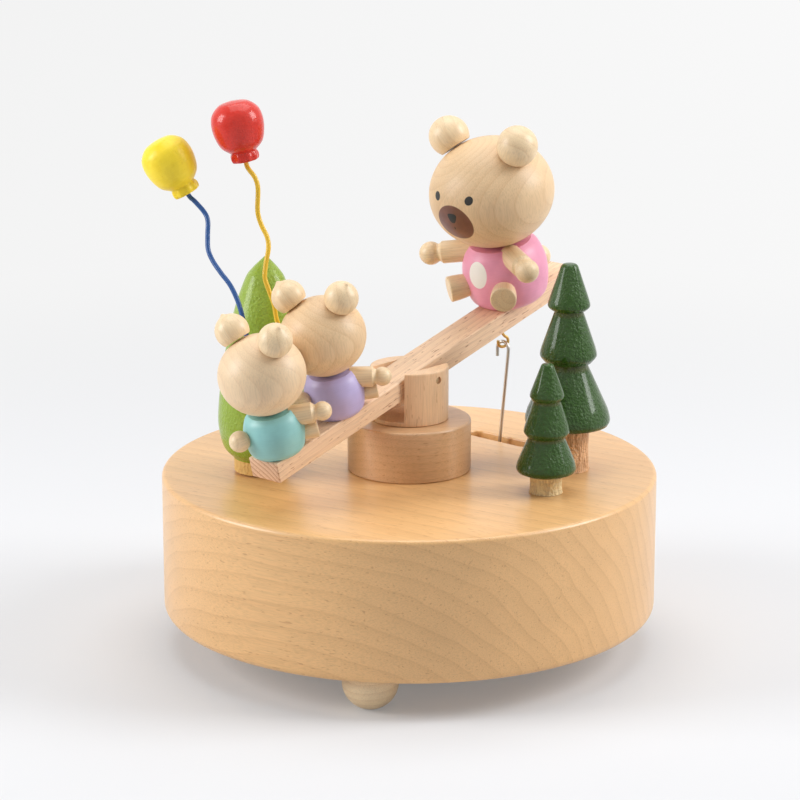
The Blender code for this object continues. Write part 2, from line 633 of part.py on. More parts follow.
def build_rod(seesaw):
    """A wire rod: a loop beside the crank pin, a straight run and a hook through the eye."""
    eye = EYE_CENTRE
    pin = Vector((ROD_X, CRANK_RADIUS * math.sin(CRANK_ANGLE),
                  AXIS_Z + CRANK_RADIUS * math.cos(CRANK_ANGLE)))
    hinge = add_empty("rod_hinge", Matrix.Translation(eye), seesaw)
    hook_foot = Vector((ROD_X, -ROD_HOOK_RADIUS, eye.z - ROD_HOOK_TAIL))
    reach = math.hypot(hook_foot.z - pin.z, hook_foot.y - pin.y)
    leave = math.atan2(hook_foot.z - pin.z, hook_foot.y - pin.y)
    leave += math.acos(ROD_LOOP_RADIUS / reach)
    loop = []
    for step in range(13):
        angle = leave + ROD_LOOP_SWEEP * (1 - step / 12)
        loop.append(Vector((ROD_X, pin.y + ROD_LOOP_RADIUS * math.cos(angle),
                            pin.z + ROD_LOOP_RADIUS * math.sin(angle))))
    hook = []
    for step in range(9):
        angle = math.radians(180 - 22.5 * step)
        hook.append(Vector((ROD_X, ROD_HOOK_RADIUS * math.cos(angle),
                            eye.z - ROD_HOOK_RADIUS + ROD_HOOK_RADIUS * math.sin(angle))))
    tail = Vector((ROD_X, ROD_HOOK_RADIUS, eye.z - ROD_HOOK_RADIUS - ROD_HOOK_TAIL))
    wire("connecting_rod", loop + [hook_foot] + hook + [tail], ROD_WIRE_RADIUS, "steel", hinge)


def body_profile(size):
    """A bear's barrel body: a flat foot, a full belly and a flat neck."""
    foot, belly, neck = size.body_foot_radius, size.body_radius, size.body_neck_radius
    top, low = size.body_height, SEAT_GAP
    rise = top - low
    knots = [(neck, top), (neck + 0.55 * (belly - neck), top - 0.12 * rise),
             (belly * 0.985, top - 0.36 * rise), (belly, low + 0.44 * rise),
             (belly * 0.96, low + 0.22 * rise), (foot + 0.55 * (belly - foot), low + 0.07 * rise),
             (foot, low)]
    return [(0.0, top)] + knots + [(0.0, low)]


def seat_profile(size):
    """The body's outline grown by the seat gap, to cut the limbs' roots below the head."""
    grown = [(radius + SEAT_GAP, height) for radius, height in body_profile(size)[1:-1]]
    top, low = size.body_height + NECK_ROOM, 0.0
    return [(0.0, top), (grown[0][0], top)] + grown[1:-1] + [(grown[-1][0], low), (0.0, low)]


def head_profile(size):
    """An egg-shaped head, cut flat where it sits on the body."""
    seat = size.body_height + SEAT_GAP
    drop = (size.head_centre - seat) / size.head_half_height
    end = -math.degrees(math.asin(min(drop, 0.99)))
    radii = (size.head_radius, size.head_half_height)
    curve = arc((0.0, size.head_centre), radii, 90, end, 8)
    return [(0.0, curve[0][1])] + curve[1:] + [(0.0, curve[-1][1])]


def cut_ball_profile(radius, depth, steps):
    """A ball on z = 0 whose lowest part is cut flat."""
    centre = radius - depth
    end = -math.degrees(math.asin(centre / radius))
    curve = arc((0.0, centre), (radius, radius), 90, end, steps)
    return [(0.0, curve[0][1])] + curve[1:] + [(0.0, 0.0)]


def arm_profile(size):
    """A dowel with a groove before a ball-shaped hand, pointing up from z = 0."""
    hand, arm = size.hand_radius, size.arm_radius
    wrist = size.arm_reach - LIMB_ROOT_SHARE * size.body_radius
    ball = arc((0.0, wrist), (hand, hand), 90, HAND_ARC_END, 4)
    groove = arm - 2 * LIMB_GROOVE
    return ([(0.0, ball[0][1])] + ball[1:]
            + [(groove, wrist - 0.75 * hand), (arm, wrist - hand), (arm, 0.0), (0.0, 0.0)])


def leg_profile(size):
    """A short cup-shaped leg with a flat sole, pointing up from z = 0."""
    radius = size.leg_radius
    length = size.leg_reach - LIMB_ROOT_SHARE * size.body_radius
    edge = 0.12 * radius
    depth = (length - edge) / -math.sin(math.radians(LEG_ARC_END))
    side = arc((0.0, length - edge), (radius, depth), 0, LEG_ARC_END, 4)
    return [(0.0, length), (radius - edge, length)] + side[:-1] + [(side[-1][0], 0.0), (0.0, 0.0)]


def limb_frame(bear, height, reach, spread, drop, side):
    """A frame at a reach from the bear's axis whose +Z points out along a limb."""
    level = Vector((math.cos(spread), side * math.sin(spread), 0.0))
    direction = level * math.cos(drop) - Vector((0.0, 0.0, math.sin(drop)))
    start = level * reach + Vector((0.0, 0.0, height))
    return bear @ along(start, start + direction)


def body_radius_at(size, height):
    """The body's radius at a height, read from its own profile."""
    profile = body_profile(size)
    for (upper_r, upper_z), (lower_r, lower_z) in zip(profile[1:], profile[2:]):
        if lower_z <= height <= upper_z:
            share = (height - lower_z) / (upper_z - lower_z)
            return lower_r + share * (upper_r - lower_r)
    return size.body_radius


def ear_frame(bear, size, side):
    """A frame on the head's surface whose +Z points out of it."""
    angle = size.ear_angle
    spot = Vector((0.0, side * size.head_radius * math.sin(angle),
                   size.head_centre + size.head_half_height * math.cos(angle)))
    normal = Vector((0.0, side * math.sin(angle) / size.head_radius,
                     math.cos(angle) / size.head_half_height)).normalized()
    start = spot + normal * SEAT_GAP
    return bear @ along(start, start + normal)


def build_bear(name, size, reach, faces, shirt, seesaw, arm_drop=0.0, head_turn=0.0):
    """A bear of ten turned pieces, glued to the plank; returns its arms and hand points."""
    turn = Matrix.Rotation(0.0 if faces > 0 else math.pi, 4, "Z")
    frame = SEESAW_FRAME @ Matrix.Translation((reach, 0, PLANK_THICKNESS / 2)) @ turn
    bear = add_empty(name, frame, seesaw)
    head_frame = frame @ Matrix.Rotation(head_turn, 4, "Z")
    turned(name + "_body", body_profile(size), shirt, frame, bear, sides=20)
    turned(name + "_head", head_profile(size), "maple", head_frame, bear, sides=18)
    seat = turned(name + "_seat_cutter", seat_profile(size), frame=frame, parent=bear, sides=20)
    root = LIMB_ROOT_SHARE * size.body_radius
    hands = {}
    for side, word in ((1, "left"), (-1, "right")):
        turned(f"{name}_ear_{word}", cut_ball_profile(size.ear_radius, size.ear_cut, 5),
               "maple", ear_frame(head_frame, size, side), bear, sides=14)
        arm = limb_frame(frame, size.arm_height, root, size.arm_spread, arm_drop, side)
        limb = turned(f"{name}_arm_{word}", arm_profile(size), "maple", arm, bear, sides=12)
        cut(limb, seat)
        hands[side] = (limb, arm @ Vector((0.0, 0.0, size.arm_reach - root)))
        leg = limb_frame(frame, size.leg_height, root, size.leg_spread, 0.0, side)
        foot = turned(f"{name}_leg_{word}", leg_profile(size), "maple", leg, bear, sides=14)
        cut(foot, seat)
    tail_reach = body_radius_at(size, size.tail_height) + SEAT_GAP
    tail = limb_frame(frame, size.tail_height, tail_reach, size.tail_spread, 0.0, 1)
    turned(name + "_tail", cut_ball_profile(size.tail_radius, TAIL_CUT, 5), "maple", tail, bear,
           sides=12)
    return hands


def pine_profile(pine):
    """Stacked cones, each drawn in to a neck under its skirt, on a trunk."""
    tip, trunk = pine.tip_radius, pine.trunk_radius
    points = [(0.0, pine.height), (tip * 0.7, pine.height), (tip, pine.height - 0.35 * tip)]
    for index, (radius, skirt, under) in enumerate(pine.tiers):
        points += [(radius * 0.97, skirt + 0.18 * radius), (radius, skirt),
                   (radius * 0.95, skirt - 0.12 * radius)]
        last = index == len(pine.tiers) - 1
        inner = trunk if last else radius * pine.neck_share
        points.append((inner, under))
    points += [(trunk * 0.97, under * 0.5), (trunk * 1.04, SEAT_GAP), (0.0, SEAT_GAP)]
    return points


def build_trees():
    for name, pine in PINE_SIZES.items():
        turned(name, pine_profile(pine), "pine_green",
               Matrix.Translation((*pine.place, BASE_TOP)), sides=16)
    crown = list(LEAF_TREE_KNOTS)
    profile = [(0.0, crown[0][1])] + crown + [(LEAF_TRUNK_RADIUS, SEAT_GAP), (0.0, SEAT_GAP)]
    lean = Matrix.Rotation(LEAF_TREE_LEAN, 4, LEAF_TREE_LEAN_AXIS)
    rise = LEAF_TRUNK_RADIUS * math.sin(LEAF_TREE_LEAN)
    lift = Matrix.Translation((*LEAF_TREE_PLACE, BASE_TOP + rise))
    turned("leaf_tree", profile, "leaf_green", lift @ lean, sides=20)


def wire_route(knots, steps):
    """A Catmull-Rom curve through the wire's points."""
    route = []
    for index in range(len(knots) - 1):
        before, after = knots[max(index - 1, 0)], knots[min(index + 2, len(knots) - 1)]
        first, second = knots[index], knots[index + 1]
        for step in range(steps):
            t = step / steps
            route.append(0.5 * (2 * first + (second - before) * t
                                + (2 * before - 5 * first + 4 * second - after) * t ** 2
                                + (3 * first - before - 3 * second + after) * t ** 3))
    return route + [knots[-1]]


def balloon_profile(radius):
    """A squarish balloon over a knot collar, bored from below for its wire."""
    knot, hole, neck = BALLOON_KNOT_RADIUS, BALLOON_WIRE_RADIUS + SEAT_GAP, BALLOON_KNOT_HEIGHT
    height = BALLOON_HEIGHT_SHARE * radius
    knots = [(0.0, height), (0.6 * radius, 0.965 * height), (0.92 * radius, 0.8 * height),
             (radius, 0.57 * height), (0.95 * radius, 0.34 * height),
             (0.78 * radius, 0.12 * height), (0.9 * knot, 0.0)]
    crown = [(r, z + neck) for r, z in knots]
    collar = [(knot, 0.75 * neck), (knot * 0.97, 0.0)]
    bore = [(hole, 0.0), (hole, BALLOON_HOLE_DEPTH), (0.0, BALLOON_HOLE_DEPTH)]
    return crown + collar + bore


def build_balloon(colour, wire_colour, radius, axis, points, hand, seesaw):
    """A balloon on a stiff wire that stands in a bear's hand."""
    limb, grip = hand
    heading = Vector(axis).normalized()
    mouth = grip + Vector(points[-1]) * MM
    lead = mouth - heading * WIRE_LEAD_IN
    route = wire_route([grip + Vector(point) * MM for point in points[:-1]] + [lead], 2)
    lift = (route[1] - route[0]).normalized()
    route[0] = grip - lift * WIRE_HOLE_DEPTH / 2
    floor = route[0] - lift * SEAT_GAP
    reach = 2 * WIRE_HOLE_DEPTH + BEAR_SIZES["small"].hand_radius
    hole = bar(f"{colour}_grip_cutter", floor, floor + lift * reach,
               BALLOON_WIRE_RADIUS + SEAT_GAP, sides=12)
    cut(limb, hole)
    route.append(mouth + heading * (BALLOON_HOLE_DEPTH - SEAT_GAP))
    wire(f"{colour}_balloon_wire", route, BALLOON_WIRE_RADIUS, wire_colour, seesaw)
    turned(f"{colour}_balloon", balloon_profile(radius), colour, along(mouth, mouth + heading),
           seesaw, sides=16)


def build_frame_plate(cover):
    """The movement's bedplate with its bearings, comb ledge and governor bracket."""
    gear_x = CYLINDER_LENGTH + GEAR_GAP
    gear_end = gear_x + GEAR_WIDTH
    wall_x = gear_end + RIGHT_BEARING_GAP
    governor_x = gear_x - GOVERNOR_ARBOR_LEAD
    governor_y = -GEAR_MODULE * (CYLINDER_GEAR_TEETH + GOVERNOR_PINION_TEETH) / 2
    fan_x = gear_end + FAN_OFFSET
    fan_y = governor_y - WORM_WHEEL_RADIUS - WORM_RADIUS
    fan_front, fan_back = fan_y - FAN_BRACKET_HALF_WIDTH, fan_y + FAN_BRACKET_HALF_WIDTH
    plate = block("movement_frame", (PLATE_LEFT, PLATE_FRONT, PLATE_BOTTOM),
                  (PLATE_RIGHT, PLATE_BACK, PLATE_TOP), "brass")
    sunk = PLATE_TOP - MOVEMENT_PLATE / 2
    comb_y = comb_front() + COMB_TOOTH_LENGTH
    comb_z = AXIS_Z - SEAT_GAP
    reach = CYLINDER_BEARING_REACH
    joined = [
        block("left_bearing", (-LEFT_BEARING_GAP - LEFT_BEARING_WALL, -reach, sunk),
              (-LEFT_BEARING_GAP, reach, AXIS_Z + reach)),
        block("governor_bearing", (governor_x, governor_y - GOVERNOR_BEARING_FRONT, sunk),
              (governor_x + BEARING_WALL, governor_y + GOVERNOR_BEARING_BACK,
               AXIS_Z + GOVERNOR_BEARING_RISE)),
        block("right_bearing", (wall_x, governor_y - reach, sunk),
              (wall_x + BEARING_WALL, reach, AXIS_Z + RIGHT_BEARING_RISE)),
        block("fan_arm", (wall_x, fan_front, AXIS_Z + FAN_ARM_LOW),
              (wall_x + BEARING_WALL, governor_y - GOVERNOR_BEARING_FRONT,
               AXIS_Z + RIGHT_BEARING_RISE)),
        block("fan_bracket", (fan_x - FAN_BRACKET_REACH, fan_front, AXIS_Z + FAN_BRACKET_LOW),
              (wall_x + BEARING_WALL / 2, fan_back, AXIS_Z + FAN_BRACKET_HIGH)),
        block("comb_ledge", (-COMB_LEDGE_MARGIN, comb_y - COMB_LEDGE_MARGIN, sunk),
              (CYLINDER_LENGTH + COMB_LEDGE_MARGIN, comb_y + COMB_ROOT_DEPTH, comb_z)),
    ]
    for x in comb_stud_places():
        joined.append(bar("comb_stud", (x, comb_y + COMB_ROOT_DEPTH / 2, sunk),
                          (x, comb_y + COMB_ROOT_DEPTH / 2, comb_z + COMB_STUD_RISE),
                          COMB_STUD_RADIUS, sides=12))
    for piece in joined:
        join(plate, piece)
    span = BORE_REACH
    holes = [
        bar("arbor_bore", (-span, 0, AXIS_Z), (span, 0, AXIS_Z), ARBOR_RADIUS + RUNNING_GAP),
        bar("governor_bore", (gear_x - GOVERNOR_BORE_LEAD, governor_y, AXIS_Z),
            (span, governor_y, AXIS_Z), GOVERNOR_ARBOR_RADIUS + RUNNING_GAP),
        bar("fan_bore", (fan_x, fan_y, 0), (fan_x, fan_y, span), FAN_SHAFT_RADIUS + RUNNING_GAP,
            sides=12),
        bar("winding_bore", (-BARREL_REACH, 0, 0), (-BARREL_REACH, 0, span),
            WINDING_ARBOR_RADIUS + RUNNING_GAP),
    ]
    for hole in holes:
        cut(plate, hole)
    for index, spot in enumerate(MOVEMENT_SCREW_PLACES):
        build_screw(f"movement_screw_{index + 1}", spot, MOVEMENT_SCREW_LENGTH, (cover, plate))
    return SimpleNamespace(gear_x=gear_x, wall_x=wall_x, governor_x=governor_x,
                           governor_y=governor_y, fan_x=fan_x, fan_y=fan_y, comb_y=comb_y)


def comb_front():
    return CYLINDER_RADIUS + PIN_HEIGHT + RUNNING_GAP


def comb_stud_places():
    return [CYLINDER_LENGTH * share for share in COMB_STUD_SHARES]


def build_comb(layout):
    """The tuned steel comb: one tooth for each track of pins."""
    pitch = CYLINDER_LENGTH / COMB_TEETH
    front = comb_front()
    outline = [(CYLINDER_LENGTH, layout.comb_y), (CYLINDER_LENGTH, layout.comb_y + COMB_ROOT_DEPTH),
               (0.0, layout.comb_y + COMB_ROOT_DEPTH), (0.0, layout.comb_y)]
    for tooth in range(COMB_TEETH):
        left = (tooth + 0.5 - COMB_TOOTH_FILL / 2) * pitch
        right = (tooth + 0.5 + COMB_TOOTH_FILL / 2) * pitch
        outline += [(left, layout.comb_y), (left, front), (right, front), (right, layout.comb_y)]
    comb = prism("steel_comb", outline, COMB_THICKNESS, "steel", Matrix.Translation((0, 0, AXIS_Z)))
    for x in comb_stud_places():
        y = layout.comb_y + COMB_ROOT_DEPTH / 2
        cut(comb, bar("comb_hole_cutter", (x, y, AXIS_Z - MM), (x, y, AXIS_Z + 2 * MM),
                      COMB_STUD_RADIUS + SEAT_GAP, sides=12))


def x_axis_frame(x, y=0.0, spin=0.0):
    """A frame on the movement's height whose +Z runs along world +X."""
    return (Matrix.Translation((x, y, AXIS_Z)) @ Matrix.Rotation(math.pi / 2, 4, "Y")
            @ Matrix.Rotation(spin, 4, "Z"))


def build_cylinder(layout):
    """The pinned cylinder on its arbor, with a pinion for the barrel and a governor gear."""
    disc_x = ROD_X - ROD_WIRE_RADIUS - CRANK_PIN_CLEARANCE - CRANK_PIN_LENGTH - CRANK_DISC_THICKNESS
    pinion_x = CROWN_PITCH_RADIUS - BARREL_REACH - CROWN_FACE / 2
    arbor_end = disc_x + CRANK_DISC_THICKNESS - RUNNING_GAP
    frame = x_axis_frame(0.0)
    profile = [(0.0, arbor_end), (ARBOR_RADIUS, arbor_end), (ARBOR_RADIUS, CYLINDER_LENGTH),
               (CYLINDER_RADIUS, CYLINDER_LENGTH), (CYLINDER_RADIUS, 0.0), (ARBOR_RADIUS, 0.0),
               (ARBOR_RADIUS, pinion_x), (0.0, pinion_x)]
    cylinder = turned("tune_cylinder", profile, "brass", frame, sides=24)
    pinion_radius = CROWN_PITCH_RADIUS * PINION_TEETH / CROWN_TEETH
    outline = gear_outline(PINION_TEETH, pinion_radius, "barrel_pinion")
    pinion = prism("barrel_pinion", outline, CROWN_FACE,
                   frame=x_axis_frame(pinion_x, spin=math.pi / PINION_TEETH))
    gear_radius = GEAR_MODULE * CYLINDER_GEAR_TEETH / 2
    outline = gear_outline(CYLINDER_GEAR_TEETH, gear_radius, "governor_gear")
    gear = prism("governor_gear", outline, GEAR_WIDTH,
                 frame=x_axis_frame(layout.gear_x, spin=math.pi / 2))
    join(cylinder, pinion)
    join(cylinder, gear)
    join(cylinder, build_tune_pins())

    disc_frame = x_axis_frame(disc_x)
    profile = [(0.0, CRANK_DISC_THICKNESS), (CRANK_DISC_RADIUS, CRANK_DISC_THICKNESS),
               (CRANK_DISC_RADIUS, 0.0), (0.0, 0.0)]
    disc = turned("crank_disc", profile, "steel", disc_frame, sides=20)
    pin_y, pin_z = CRANK_RADIUS * math.sin(CRANK_ANGLE), CRANK_RADIUS * math.cos(CRANK_ANGLE)
    pin_end = disc_x + CRANK_DISC_THICKNESS + CRANK_PIN_LENGTH
    pin = bar("crank_pin", (disc_x + CRANK_DISC_THICKNESS / 2, pin_y, AXIS_Z + pin_z),
              (pin_end, pin_y, AXIS_Z + pin_z), CRANK_PIN_RADIUS, sides=12)
    join(disc, pin)
    cut(disc, bar("crank_bore", (disc_x - MM, 0, AXIS_Z), (pin_end, 0, AXIS_Z),
                  ARBOR_RADIUS + RUNNING_GAP))


def build_tune_pins():
    """Small square pins sunk into the cylinder, a few on each track, by a fixed rule."""
    shape = bmesh.new()
    pitch = CYLINDER_LENGTH / COMB_TEETH
    steps = PIN_STEPS * PINS_PER_TRACK
    for track in range(COMB_TEETH):
        for index in range(PINS_PER_TRACK):
            slot = (track * 7 + index * PIN_STEPS + (track * index * 5) % 4) % steps
            angle = (slot + 0.5) * math.tau / steps
            matrix = (x_axis_frame((track + 0.5) * pitch)
                      @ Matrix.Rotation(angle, 4, "Z")
                      @ Matrix.Translation((CYLINDER_RADIUS, 0, 0))
                      @ Matrix.Diagonal((2 * PIN_HEIGHT, PIN_WIDTH, PIN_WIDTH, 1.0)))
            bmesh.ops.create_cube(shape, size=1.0, matrix=matrix)
    return add_object("tune_pins", mesh_from("tune_pins", shape))


def build_barrel():
    """The mainspring barrel: a cup over the plate whose flange is a crown wheel."""
    pinion_radius = CROWN_PITCH_RADIUS * PINION_TEETH / CROWN_TEETH
    pitch_z = AXIS_Z - pinion_radius
    root_z, tip_z = pitch_z - CROWN_ROOT_DROP, pitch_z + CROWN_TIP_RISE
    inside = CROWN_PITCH_RADIUS - CROWN_FACE / 2
    outside = CROWN_PITCH_RADIUS + CROWN_FACE / 2
    flange_radius = outside + CROWN_RIM
    low = root_z - CROWN_FLANGE
    high = low + BARREL_HEIGHT
    inner = BARREL_RADIUS - BARREL_WALL
    bore = WINDING_JOURNAL_RADIUS + RUNNING_GAP
    frame = Matrix.Translation((-BARREL_REACH, 0, 0))
    profile = [(bore, high), (BARREL_RADIUS - BARREL_WALL, high), (BARREL_RADIUS, high - BARREL_WALL),
               (BARREL_RADIUS, root_z), (flange_radius, root_z), (flange_radius, low),
               (inner, low), (inner, high - BARREL_WALL), (bore, high - BARREL_WALL)]
    barrel = turned("spring_barrel", profile, "steel", frame, sides=24, closed=True)
    shape = bmesh.new()
    for tooth in range(CROWN_TEETH):
        angle = tooth * math.tau / CROWN_TEETH
        result = bmesh.ops.create_cube(shape, size=1.0)
        for vertex in result["verts"]:
            radius = outside if vertex.co.x > 0 else inside
            at_tip = vertex.co.z > 0
            fill = CROWN_TIP_FILL if at_tip else CROWN_ROOT_FILL
            half = fill * math.pi / CROWN_TEETH
            turn = angle + (half if vertex.co.y > 0 else -half)
            height = tip_z if at_tip else root_z - CROWN_TOOTH_SINK
            vertex.co = (radius * math.cos(turn), radius * math.sin(turn), height)
    join(barrel, add_object("crown_teeth", mesh_from("crown_teeth", shape), frame=frame))

    spring_low, spring_high = low + SPRING_END_GAP, high - BARREL_WALL - SPRING_END_GAP
    build_mainspring(frame, inner, spring_low, spring_high)
    shaft_top = high - BARREL_WALL - WINDING_SHOULDER_GAP
    arbor_low = BASE_BOTTOM - WINDING_LOW_REACH
    arbor_top = high + WINDING_TOP_REACH
    profile = [(0.0, arbor_top), (WINDING_JOURNAL_RADIUS, arbor_top),
               (WINDING_JOURNAL_RADIUS, shaft_top), (WINDING_ARBOR_RADIUS, shaft_top),
               (WINDING_ARBOR_RADIUS, arbor_low), (0.0, arbor_low)]
    turned("winding_arbor", profile, "steel", frame, sides=20)
    build_key(frame, arbor_low)


def build_mainspring(frame, inner, low, high):
    """A flat steel spiral between the winding arbor and the barrel's wall."""
    steps = 14 * SPRING_TURNS
    start = WINDING_ARBOR_RADIUS + RUNNING_GAP + SPRING_THICKNESS / 2
    end = inner - RUNNING_GAP - SPRING_THICKNESS / 2
    outer_side, inner_side = [], []
    for step in range(steps + 1):
        angle = math.tau * SPRING_TURNS * step / steps
        radius = start + (end - start) * step / steps
        ray = Vector((math.cos(angle), math.sin(angle)))
        outer_side.append(ray * (radius + SPRING_THICKNESS / 2))
        inner_side.append(ray * (radius - SPRING_THICKNESS / 2))
    outline = [tuple(point) for point in outer_side + inner_side[::-1]]
    prism("mainspring", outline, high - low, "steel", frame @ Matrix.Translation((0, 0, low)))


def build_key(frame, arbor_low):
    """A wing key on the arbor's lower end, clear of the floor."""
    wing_top = KEY_FLOOR_GAP + KEY_WING_HEIGHT
    stem_top = BASE_BOTTOM - SEAT_GAP
    hole = WINDING_ARBOR_RADIUS + SEAT_GAP
    socket = arbor_low - SEAT_GAP
    profile = [(0.0, socket), (hole, socket), (hole, stem_top), (KEY_STEM_RADIUS, stem_top),
               (KEY_STEM_RADIUS, KEY_FLOOR_GAP + KEY_STEM_EDGE),
               (KEY_STEM_RADIUS - KEY_STEM_EDGE, KEY_FLOOR_GAP), (0.0, KEY_FLOOR_GAP)]
    key = turned("winding_key", profile, "brass", frame, sides=18)
    for side, word in ((1, "left"), (-1, "right")):
        half_height = KEY_WING_HEIGHT / 2
        straight = KEY_WING_SPAN - half_height
        start = (KEY_STEM_RADIUS + hole) / 2
        outline = [(start, wing_top)]
        outline += arc((straight, KEY_FLOOR_GAP + half_height), (half_height, half_height), 90, -90, 8)
        outline += [(start, KEY_FLOOR_GAP)]
        outline = [(side * x, z) for x, z in outline]
        turn = frame @ Matrix.Translation((0, KEY_WING_THICKNESS / 2, 0)) @ Matrix.Rotation(
            math.pi / 2, 4, "X")
        join(key, prism(f"key_wing_{word}", outline, KEY_WING_THICKNESS, frame=turn))


def build_governor(layout):
    """The governor: a wheel driven by the cylinder, and a worm shaft with an air fan."""
    pinion_radius = GEAR_MODULE * GOVERNOR_PINION_TEETH / 2
    end = layout.wall_x + BEARING_WALL
    wheel = bar("governor_wheel", (layout.governor_x, layout.governor_y, AXIS_Z),
                (end, layout.governor_y, AXIS_Z), GOVERNOR_ARBOR_RADIUS, "steel", sides=12)
    outline = gear_outline(GOVERNOR_PINION_TEETH, pinion_radius, "governor_pinion")
    spin = math.pi / 2 + math.pi / GOVERNOR_PINION_TEETH
    pinion = prism("governor_pinion", outline, GEAR_WIDTH,
                   frame=x_axis_frame(layout.gear_x, layout.governor_y, spin))
    outline = gear_outline(WORM_WHEEL_TEETH, WORM_WHEEL_RADIUS, "worm_wheel")
    worm_wheel = prism("worm_wheel", outline, WORM_WHEEL_WIDTH,
                       frame=x_axis_frame(layout.fan_x - WORM_WHEEL_WIDTH / 2, layout.governor_y,
                                          math.pi / 2))
    join(wheel, pinion)
    join(wheel, worm_wheel)
    build_worm_shaft(layout)


def build_worm_shaft(layout):
    """A vertical shaft with a two-start worm and two fan blades."""
    pitch = math.tau * WORM_WHEEL_RADIUS / WORM_WHEEL_TEETH
    lead = WORM_STARTS * pitch
    around, along_steps = 8, 30
    low, high = AXIS_Z - WORM_LENGTH / 2, AXIS_Z + WORM_LENGTH / 2
    shaft_low = PLATE_BOTTOM + FAN_SHAFT_FOOT
    shaft_high = AXIS_Z + FAN_BRACKET_HIGH + FAN_BLADE_GAP + FAN_HEIGHT
    heights = [low + (high - low) * step / along_steps for step in range(along_steps + 1)]
    rings = [(shaft_low, None), (low - WORM_END_STEP, None)]
    rings += [(height, height - AXIS_Z) for height in heights]
    rings += [(high + WORM_END_STEP, None), (shaft_high, None)]
    shape = bmesh.new()
    layers = []
    for height, thread_z in rings:
        layer = []
        for index in range(around):
            angle = math.tau * index / around
            radius = FAN_SHAFT_RADIUS
            if thread_z is not None:
                radius = worm_radius(thread_z - lead * angle / math.tau, pitch)
            layer.append(shape.verts.new((radius * math.cos(angle), radius * math.sin(angle), height)))
        layers.append(layer)
    for lower, upper in zip(layers, layers[1:]):
        for index in range(around):
            follow = (index + 1) % around
            shape.faces.new((lower[index], lower[follow], upper[follow], upper[index]))
    shape.faces.new(layers[0][::-1])
    shape.faces.new(layers[-1])
    frame = Matrix.Translation((layout.fan_x, layout.fan_y, 0))
    shaft = add_object("governor_fan", mesh_from("governor_fan", shape), "steel", frame)
    blade_low = shaft_high - FAN_HEIGHT
    blade = block("fan_blades", (-FAN_SPAN, -FAN_BLADE / 2, blade_low),
                  (FAN_SPAN, FAN_BLADE / 2, shaft_high - FAN_SHAFT_TIP), frame=frame)
    join(shaft, blade)


def worm_radius(phase, pitch):
    """The worm's radius where its thread's phase, in metres along the axis, is given."""
    root, tip = WORM_RADIUS - WORM_THREAD_ROOT, WORM_RADIUS + WORM_THREAD_TIP
    offset = abs((phase / pitch + 0.5) % 1.0 - 0.5)
    share = min(max((WORM_THREAD_FOOT - offset) / WORM_THREAD_FLANK, 0.0), 1.0)
    return root + (tip - root) * share


def build_music_box():
    drum, cover = build_base()
    pivot_hole = build_pedestal()
    seesaw = add_empty("seesaw", SEESAW_FRAME)
    build_plank(seesaw, pivot_hole)
    build_eye(seesaw)
    build_rod(seesaw)
    big, small = BEAR_SIZES["big"], BEAR_SIZES["small"]
    build_bear("big_bear", big, BIG_BEAR_REACH, -1, "pink", seesaw)
    teal = build_bear("teal_bear", small, TEAL_BEAR_REACH, 1, "teal", seesaw)
    lilac = build_bear("lilac_bear", small, LILAC_BEAR_REACH, 1, "lilac", seesaw, LILAC_ARM_DROP,
                       LILAC_HEAD_TURN)
    build_balloon("yellow", "blue", YELLOW_BALLOON_RADIUS, YELLOW_BALLOON_AXIS,
                  BLUE_WIRE_POINTS, teal[1], seesaw)
    build_balloon("red", "yellow", RED_BALLOON_RADIUS, RED_BALLOON_AXIS,
                  YELLOW_WIRE_POINTS, lilac[1], seesaw)
    build_trees()
    layout = build_frame_plate(cover)
    build_comb(layout)
    build_cylinder(layout)
    build_barrel()
    build_governor(layout)


build_music_box()
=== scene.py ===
"""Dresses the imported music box: lacquered and plain turned woods, painted bears with their
faces, glossy trees, balloons on coated wires, and a plain pale studio."""

import math
import bmesh
import bpy
from bpy.props import FloatProperty, FloatVectorProperty, IntProperty, PointerProperty
from mathutils import Matrix, Vector


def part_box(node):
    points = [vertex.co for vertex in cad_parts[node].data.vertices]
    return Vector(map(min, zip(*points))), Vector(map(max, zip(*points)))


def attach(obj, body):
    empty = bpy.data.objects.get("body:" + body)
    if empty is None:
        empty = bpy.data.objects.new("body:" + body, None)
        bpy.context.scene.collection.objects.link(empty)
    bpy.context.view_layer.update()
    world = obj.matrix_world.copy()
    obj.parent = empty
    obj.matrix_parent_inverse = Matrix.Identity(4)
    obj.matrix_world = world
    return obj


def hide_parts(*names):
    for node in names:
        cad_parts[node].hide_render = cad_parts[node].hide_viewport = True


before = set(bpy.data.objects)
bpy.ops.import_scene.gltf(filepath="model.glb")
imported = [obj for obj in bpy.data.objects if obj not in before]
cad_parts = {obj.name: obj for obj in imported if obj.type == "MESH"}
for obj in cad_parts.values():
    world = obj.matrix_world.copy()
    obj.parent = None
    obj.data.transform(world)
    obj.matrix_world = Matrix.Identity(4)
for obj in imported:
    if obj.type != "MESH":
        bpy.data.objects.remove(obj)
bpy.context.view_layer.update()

bl_info = {
    "name": "Seesaw Music Box",
    "version": (1, 0, 0),
    "blender": (4, 5, 0),
    "location": "View3D > Sidebar > Music Box",
    "description": "Makes the fine surfaces and finishes of a wooden seesaw music box",
    "category": "Object",
}

MM = 0.001


def srgb(red, green, blue):
    """A linear colour from display values of 0 to 255."""
    linear = []
    for value in (red, green, blue):
        share = value / 255
        linear.append(share / 12.92 if share <= 0.04045 else ((share + 0.055) / 1.055) ** 2.4)
    return tuple(linear)


def middle_of(node):
    """The middle of a node's box, seen from above."""
    low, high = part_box(node)
    return Vector(((low.x + high.x) / 2, (low.y + high.y) / 2, 0.0))


